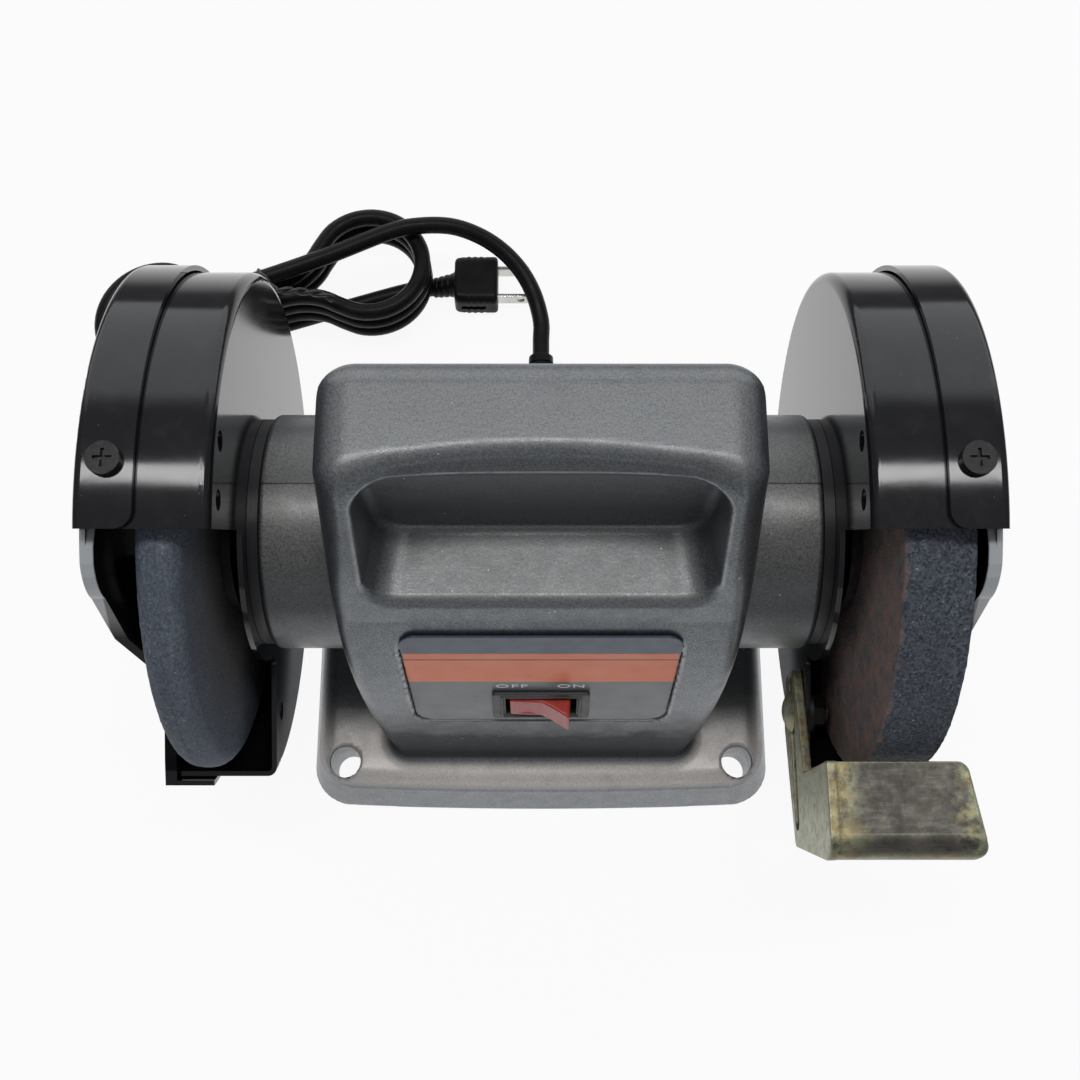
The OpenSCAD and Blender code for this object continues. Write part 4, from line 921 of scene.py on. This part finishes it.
def bore(y, z, r):
    return np.hypot(y, z - AXIS) - r


def on_panel(y, z):
    """The place up the front panel and out of it."""
    dy, dz = y - PANEL_MID[1], z - PANEL_MID[2]
    return dy * PANEL_UP[1] + dz * PANEL_UP[2], dy * PANEL_OUT[1] + dz * PANEL_OUT[2]


def label_outline(x, u, gap=0.0):
    """The label on its panel, which is narrower lower down, or its recess, which leaves a gap around it."""
    below_edge = LABEL_H / 2 - u - LABEL_DROP
    half = LABEL_W / 2 - below_edge / LABEL_H * (LABEL_W - LABEL_LOW_W) / 2
    return both(abs(x) - half - gap, abs(u + LABEL_DROP) - LABEL_H / 2 - gap, LABEL_ROUND + gap)


def body_form(x, y, z):
    """The upright part: bowed panels, the sloping face above the front one, and sides that lean out."""
    ax = abs(x)
    h = np.clip(z - BASE_H, 0, SHOULDER - BASE_H)
    deep, lean = half_depth(h)
    wide = FOOT_W / 2 + (TOP_W - FOOT_W) / 2 * np.sin(np.radians(90 * h / (SHOULDER - BASE_H)))
    side = (ax - wide) * 0.992
    # the sloping face is arched from side to side, more so higher up
    arch = 5.6 * np.clip((x / 52) ** 2, 0, 1.1) + 3.6 * along(ax, 38, 16) ** 2
    face = (-y - 35.2 - arch * along(z, GRIP_FLOOR, TOP - GRIP_FLOOR)) * 0.8563 + (z - GRIP_FLOOR) * 0.5165
    front = both((-y - deep) * np.cos(lean), face, 10)
    back = both((y - deep) * np.cos(lean), (y - 38.87) * 0.955 + (z - SHOULDER) * 0.2966, 12)
    shell = both(both(front, z - TOP, 2.8 + 4.0 * along(ax, 34, 20) ** 2), back, 6.3)
    grow = along(z, 140, 45)
    return both(shell, side, 6.5 + 4.5 * grow * grow * (3 - 2 * grow))


def base_form(x, y, z):
    """The base's skirt, which leans in as it rises and is bowed at the front and back."""
    draft = 3.8 * along(z, 0, 19)
    bowed = BASE_D / 2 + 0.9 - 1.9 * np.clip((x / 78) ** 2, 0, 1)
    return both(both(abs(x) - BASE_W / 2 + draft, abs(y) - bowed + draft, 14), z - BASE_H, 7.5)


def grip_form(x, y, z):
    """The hollow of the hand grip, which is open to the front, and narrower at its floor."""
    rise = z - GRIP_FLOOR
    wider = 2.2 * np.clip(rise / 30, 0, 1.3) - 4.0 * np.clip((y + 36) / 26, 0, 1.1)
    walls = (abs(x) - 51.3 - wider) * 0.985
    roof = (y + 20) * 0.5195 + (z - 175) * 0.8545 - 14.7 + 1.2 * np.clip((x / 48) ** 2, 0, 1.1)
    return both(both(both(-rise, roof, 4), walls, 9.5), y + 10 - rise / 43, 2.5)


def underside_form(x, y, z):
    """The hollow under the motor, around the corners of the mounting holes and the plate's posts."""
    ax, ay = abs(x), abs(y)
    deep, _ = half_depth(np.clip(z - BASE_H, 0, SHOULDER - BASE_H))
    corner = common(61.5 - ax, 51 - ay)
    post = common(np.hypot(ax - 50.5, ay - 57) - 5, 4.2 - z)
    low = both(common(ax - 78.5, ay - 68), z - 22, 1.0)
    high = common(ax - 47, ay - deep + 8, z - 96, 16 - z)
    return joined(common(low, -corner, -post), high)


def housing_form(x, y, z):
    ax, ay = abs(x), abs(y)
    body = common(body_form(x, y, z), 20 - z)
    form = both(either(base_form(x, y, z), body, 6.0), -z, 1.4)
    rise = z - GRIP_FLOOR
    form = less(form, grip_form(x, y, z), 1.1 + 2.2 * np.clip((10 - rise) / 8, 0, 1))

    # the recess of the label, and the hole of the switch
    u, n = on_panel(y, z)
    form = less(form, common(label_outline(x, u, 0.1), -1.2 - n), 0.35)
    form = common(form, -common(ax - 14, abs(u + SWITCH_DROP) - 7.5, -30 - n))

    # the mounting holes, the motor's bore and the seats of the end bells
    form = less(form, np.hypot(ax - HOLES_X / 2, ay - HOLES_Y / 2) - HOLE_R, 0.9)
    form = less(form, common(bore(y, z, 37.5), 57.0 - ax), 0.5)
    form = common(form, -bore(y, z, 33.6), -underside_form(x, y, z))

    # the seat of the cord's strain relief
    return common(form, -common(np.hypot(x, z - GLAND_Z) - 6.7, 71.5 - y))


CELL = 1.15
housing = add("cast_housing", skin(housing_form, (-87, -77, -1), (87, 77, 194), CELL, True), "base",
              GREY)
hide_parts("housing")


# ---- switch, and its words ----


def upright(form):
    """A form in the switch's own places: x across, u up the panel from its middle, and n out of it."""
    def placed(x, y, z):
        u, n = on_panel(y, z)
        return form(x, u + SWITCH_DROP, n)
    return placed


def bezel_form(x, u, n):
    """A plate with a rim on it, and behind it the body, which is open for the rocker."""
    ax, au = abs(x), abs(u)
    plate = both(both(ax - BEZEL_W / 2, au - BEZEL_H / 2, 1.2), abs(n - 0.4) - 0.8, 0.5)
    body = common(ax - 13.5, au - 7, n - 0.5, -18.8 - n)
    slot = common(ax - 11.4, au - 6.0, -9.8 - n)
    rim = both(abs(common(ax - 12.6, au - 7.2)) - 0.5, abs(n - 1.0) - 0.6, 0.3)
    return joined(less(joined(plate, body), slot, 0.4), rim)


switch = add("switch_frame", skin(upright(bezel_form), (-17, -60, 62), (17, -28, 96), 0.42), "base",
             SWITCH)
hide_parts("switch_body")


def rocker_form(x, u, n):
    """The off side lies low at the left, and the on side stands out at the right."""
    n = n + 1.8
    face = n - 3.35 - 0.4 * along(x, -10, 10) - 6.0 * along(x, 0, 9.6) ** 1.15
    ends = common(x - 9.75 + 0.08 * n, -x - 10.1)
    form = both(both(common(face, -3.2 - n), ends, 0.7), abs(u) - 5.35, 0.8)
    dip = common(np.hypot(x + 4.6, n - 10.2) - 6.9, abs(u) - 3.6)
    pin = common(np.hypot(x, n) - 1.1, abs(u) - 6.8)
    return joined(less(form, dip, 0.6), pin)


rocker = add("red_rocker", skin(upright(rocker_form), (-12, -62, 70), (12, -38, 92), 0.3), "rocker",
             RED)
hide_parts("switch_rocker")


def words(name, text, x):
    """Plain, wide letters on the label above the switch, at x across the panel."""
    size, wide, thick, up_panel, out = 3.2, 1.75, 0.1, -7.7, -0.36
    data = bpy.data.curves.new(name, "FONT")
    data.body = text
    data.size = size * MM
    data.extrude = thick / 2 * MM
    data.align_x = "CENTER"
    data.align_y = "CENTER"
    data.space_character = 1.12
    up, away = Vector(PANEL_UP), Vector(PANEL_OUT)
    across = up.cross(away)
    at = (Vector(PANEL_MID) + up * up_panel + away * out) * MM + Vector((x * MM, 0, 0))
    turned = Matrix((across * wide, up, away)).transposed().to_4x4()
    add(name, data, "base", WHITE_INK, Matrix.Translation(at) @ turned)


def label_form(x, y, z):
    u, n = on_panel(y, z)
    plate = both(label_outline(x, u), abs(n + 0.8) - 0.4, 0.25)
    return common(plate, -common(abs(x) - 14.7, abs(u + SWITCH_DROP) - 8.3))


label = add("front_label", skin(label_form, (-45, -56, 68), (45, -36, 134), 0.6), "base",
            PRINT)
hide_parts("label_plate")
words("word_off", "OFF", -9.4)
words("word_on", "ON", 9.6)


# ---- wheels ----


def wheel(name, profile, x0, flip, finish, seed, depth):
    """A stone turned from its profile, a little out of round. Depth is that of its grit."""
    mesh = lathe(profile, 300, x0, flip)
    rng = np.random.default_rng(seed)
    n = len(mesh.vertices)
    co = np.empty(n * 3)
    mesh.vertices.foreach_get("co", co)
    co = co.reshape(-1, 3)
    y, z = co[:, 1], co[:, 2] - AXIS * MM
    radius = np.hypot(y, z)
    clamped, rim = 30 * MM, 70 * MM    # radius of what lies under the flanges, and where the rim starts
    grit = rng.normal(0, depth * MM, n) * (radius > clamped)
    wave = 0.1 * MM * np.sin(np.arctan2(z, y) * 3 + seed)
    scale = 1 + (grit + wave) / np.maximum(radius, 10 * MM)
    co[:, 1] = y * scale
    co[:, 2] = AXIS * MM + z * scale
    co[:, 0] += np.where(radius > rim, rng.normal(0, depth * 0.5 * MM, n), 0)
    mesh.vertices.foreach_set("co", co.ravel())
    mesh.update()
    return add(name, mesh, "spindle", finish)


def stone_profile(width, edge):
    """From the bore on the inner face, over the rim with its rounded edges, and back on the outer face."""
    bore_r, hub = 6.5, 26
    face = WHEEL_R - edge - 0.5
    points = [(bore_r, 0.0)] + [(q, 0.0) for q in np.linspace(hub, face, 10)]
    turn = [pi / 2 * i / 6 for i in range(7)]
    points += [(WHEEL_R - edge + edge * sin(a), edge * (1 - cos(a))) for a in turn]
    inset = min(1.2, (width - edge - edge) / 4)
    points += [(WHEEL_R, q) for q in np.linspace(edge + inset, width - edge - inset, 11)]
    points += [(WHEEL_R - edge + edge * cos(a), width - edge * (1 - sin(a))) for a in turn]
    points += [(q, width) for q in np.linspace(face, hub, 10)] + [(bore_r, width), (bore_r, 0.0)]
    return points


right = wheel("stone_right", stone_profile(19.6, 0.9), WHEEL_X, False, STONE_R, 3, 0.13)
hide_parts("wheel_right")
left = wheel("stone_left", stone_profile(12.5, 5.2), -WHEEL_X, True, STONE_L, 5, 0.06)
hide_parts("wheel_left")


# ---- tool rest ----

# Heights from the shaft axis, and depths as Y
REST_T = 3.0           # thickness of its sheet
REST_TOP = 13.5
REST_REAR = -sqrt(75.0 ** 2 - (REST_TOP - REST_T) ** 2) - 1.4
REST_FRONT = REST_REAR - 21.5
REST_BEND = 6.6        # outer radius of the bend in front of the table
REST_X = 84.3          # inner face of the upright plate
REST_PIN = (-51.0, -39.0)


def rest_table_form(x, y, h):
    """The table and its bent front edge, as one bent sheet."""
    low = REST_TOP - REST_BEND
    half, middle = REST_T / 2, REST_BEND - REST_T / 2
    flat = common(abs(h - REST_TOP + half) - half, REST_FRONT - y, y - REST_REAR)
    bend = common(abs(np.hypot(y - REST_FRONT, h - low) - middle) - half, y - REST_FRONT, low - h)
    skirt = common(abs(y - REST_FRONT + middle) - half, h - low, low - 3 - h)
    # the outer end runs in towards the rear
    end = (x - 131.0 + 5.0 * along(y, REST_FRONT - REST_BEND, 29.1)) * 0.985
    outline = both(end, common(REST_FRONT - REST_BEND - y, y - REST_REAR), 3.2)
    return common(both(joined(flat, bend, skirt), outline, 0.45), REST_X + 0.3 - x)


def rest_plate_form(x, y, h):
    """The upright plate with its slot, which runs up into the table and its bent edge."""
    low = REST_TOP - REST_BEND
    front = [(-38, -32), (-38, -46), (-53, -54), (REST_FRONT + 2, -45), (REST_FRONT - REST_BEND, low - 3)]
    plate = h - REST_TOP
    for (ya, za), (yb, zb) in zip(front, front[1:]):
        length = hypot(yb - ya, zb - za)
        plate = both(plate, (y - ya) * (za - zb) / length + (h - za) * (yb - ya) / length, 1.5)
    crown = np.where((y < REST_FRONT) & (h > low), np.hypot(y - REST_FRONT, h - low) - REST_BEND, -1e3)
    plate = common(plate, crown, REST_FRONT - REST_BEND - y)
    rear = (y - REST_REAR) * 0.998 - (REST_TOP - h) * 0.0535
    lower = (y + 73.66) * 0.219 + (h + 24) * 0.9757
    plate = both(plate, joined(rear, lower), 1.0)
    plate = both(plate, abs(x - REST_X - REST_T / 2) - REST_T / 2, 0.45)
    slot = np.hypot(np.maximum(abs(y + 64.5) - 22.5, 0), h - REST_PIN[1]) - 3.3
    return less(plate, slot, 0.4)


def rest_form(x, y, z):
    h = z - AXIS
    return common(either(rest_table_form(x, y, h), rest_plate_form(x, y, h), 0.6), REST_FRONT - REST_BEND - y)


rest = add("rest_table", skin(rest_form, (82.5, -106, 50.5), (132.5, -36, 121.5), 0.62, True),
           "tool_rest", ZINC)
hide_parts("rest_bracket")
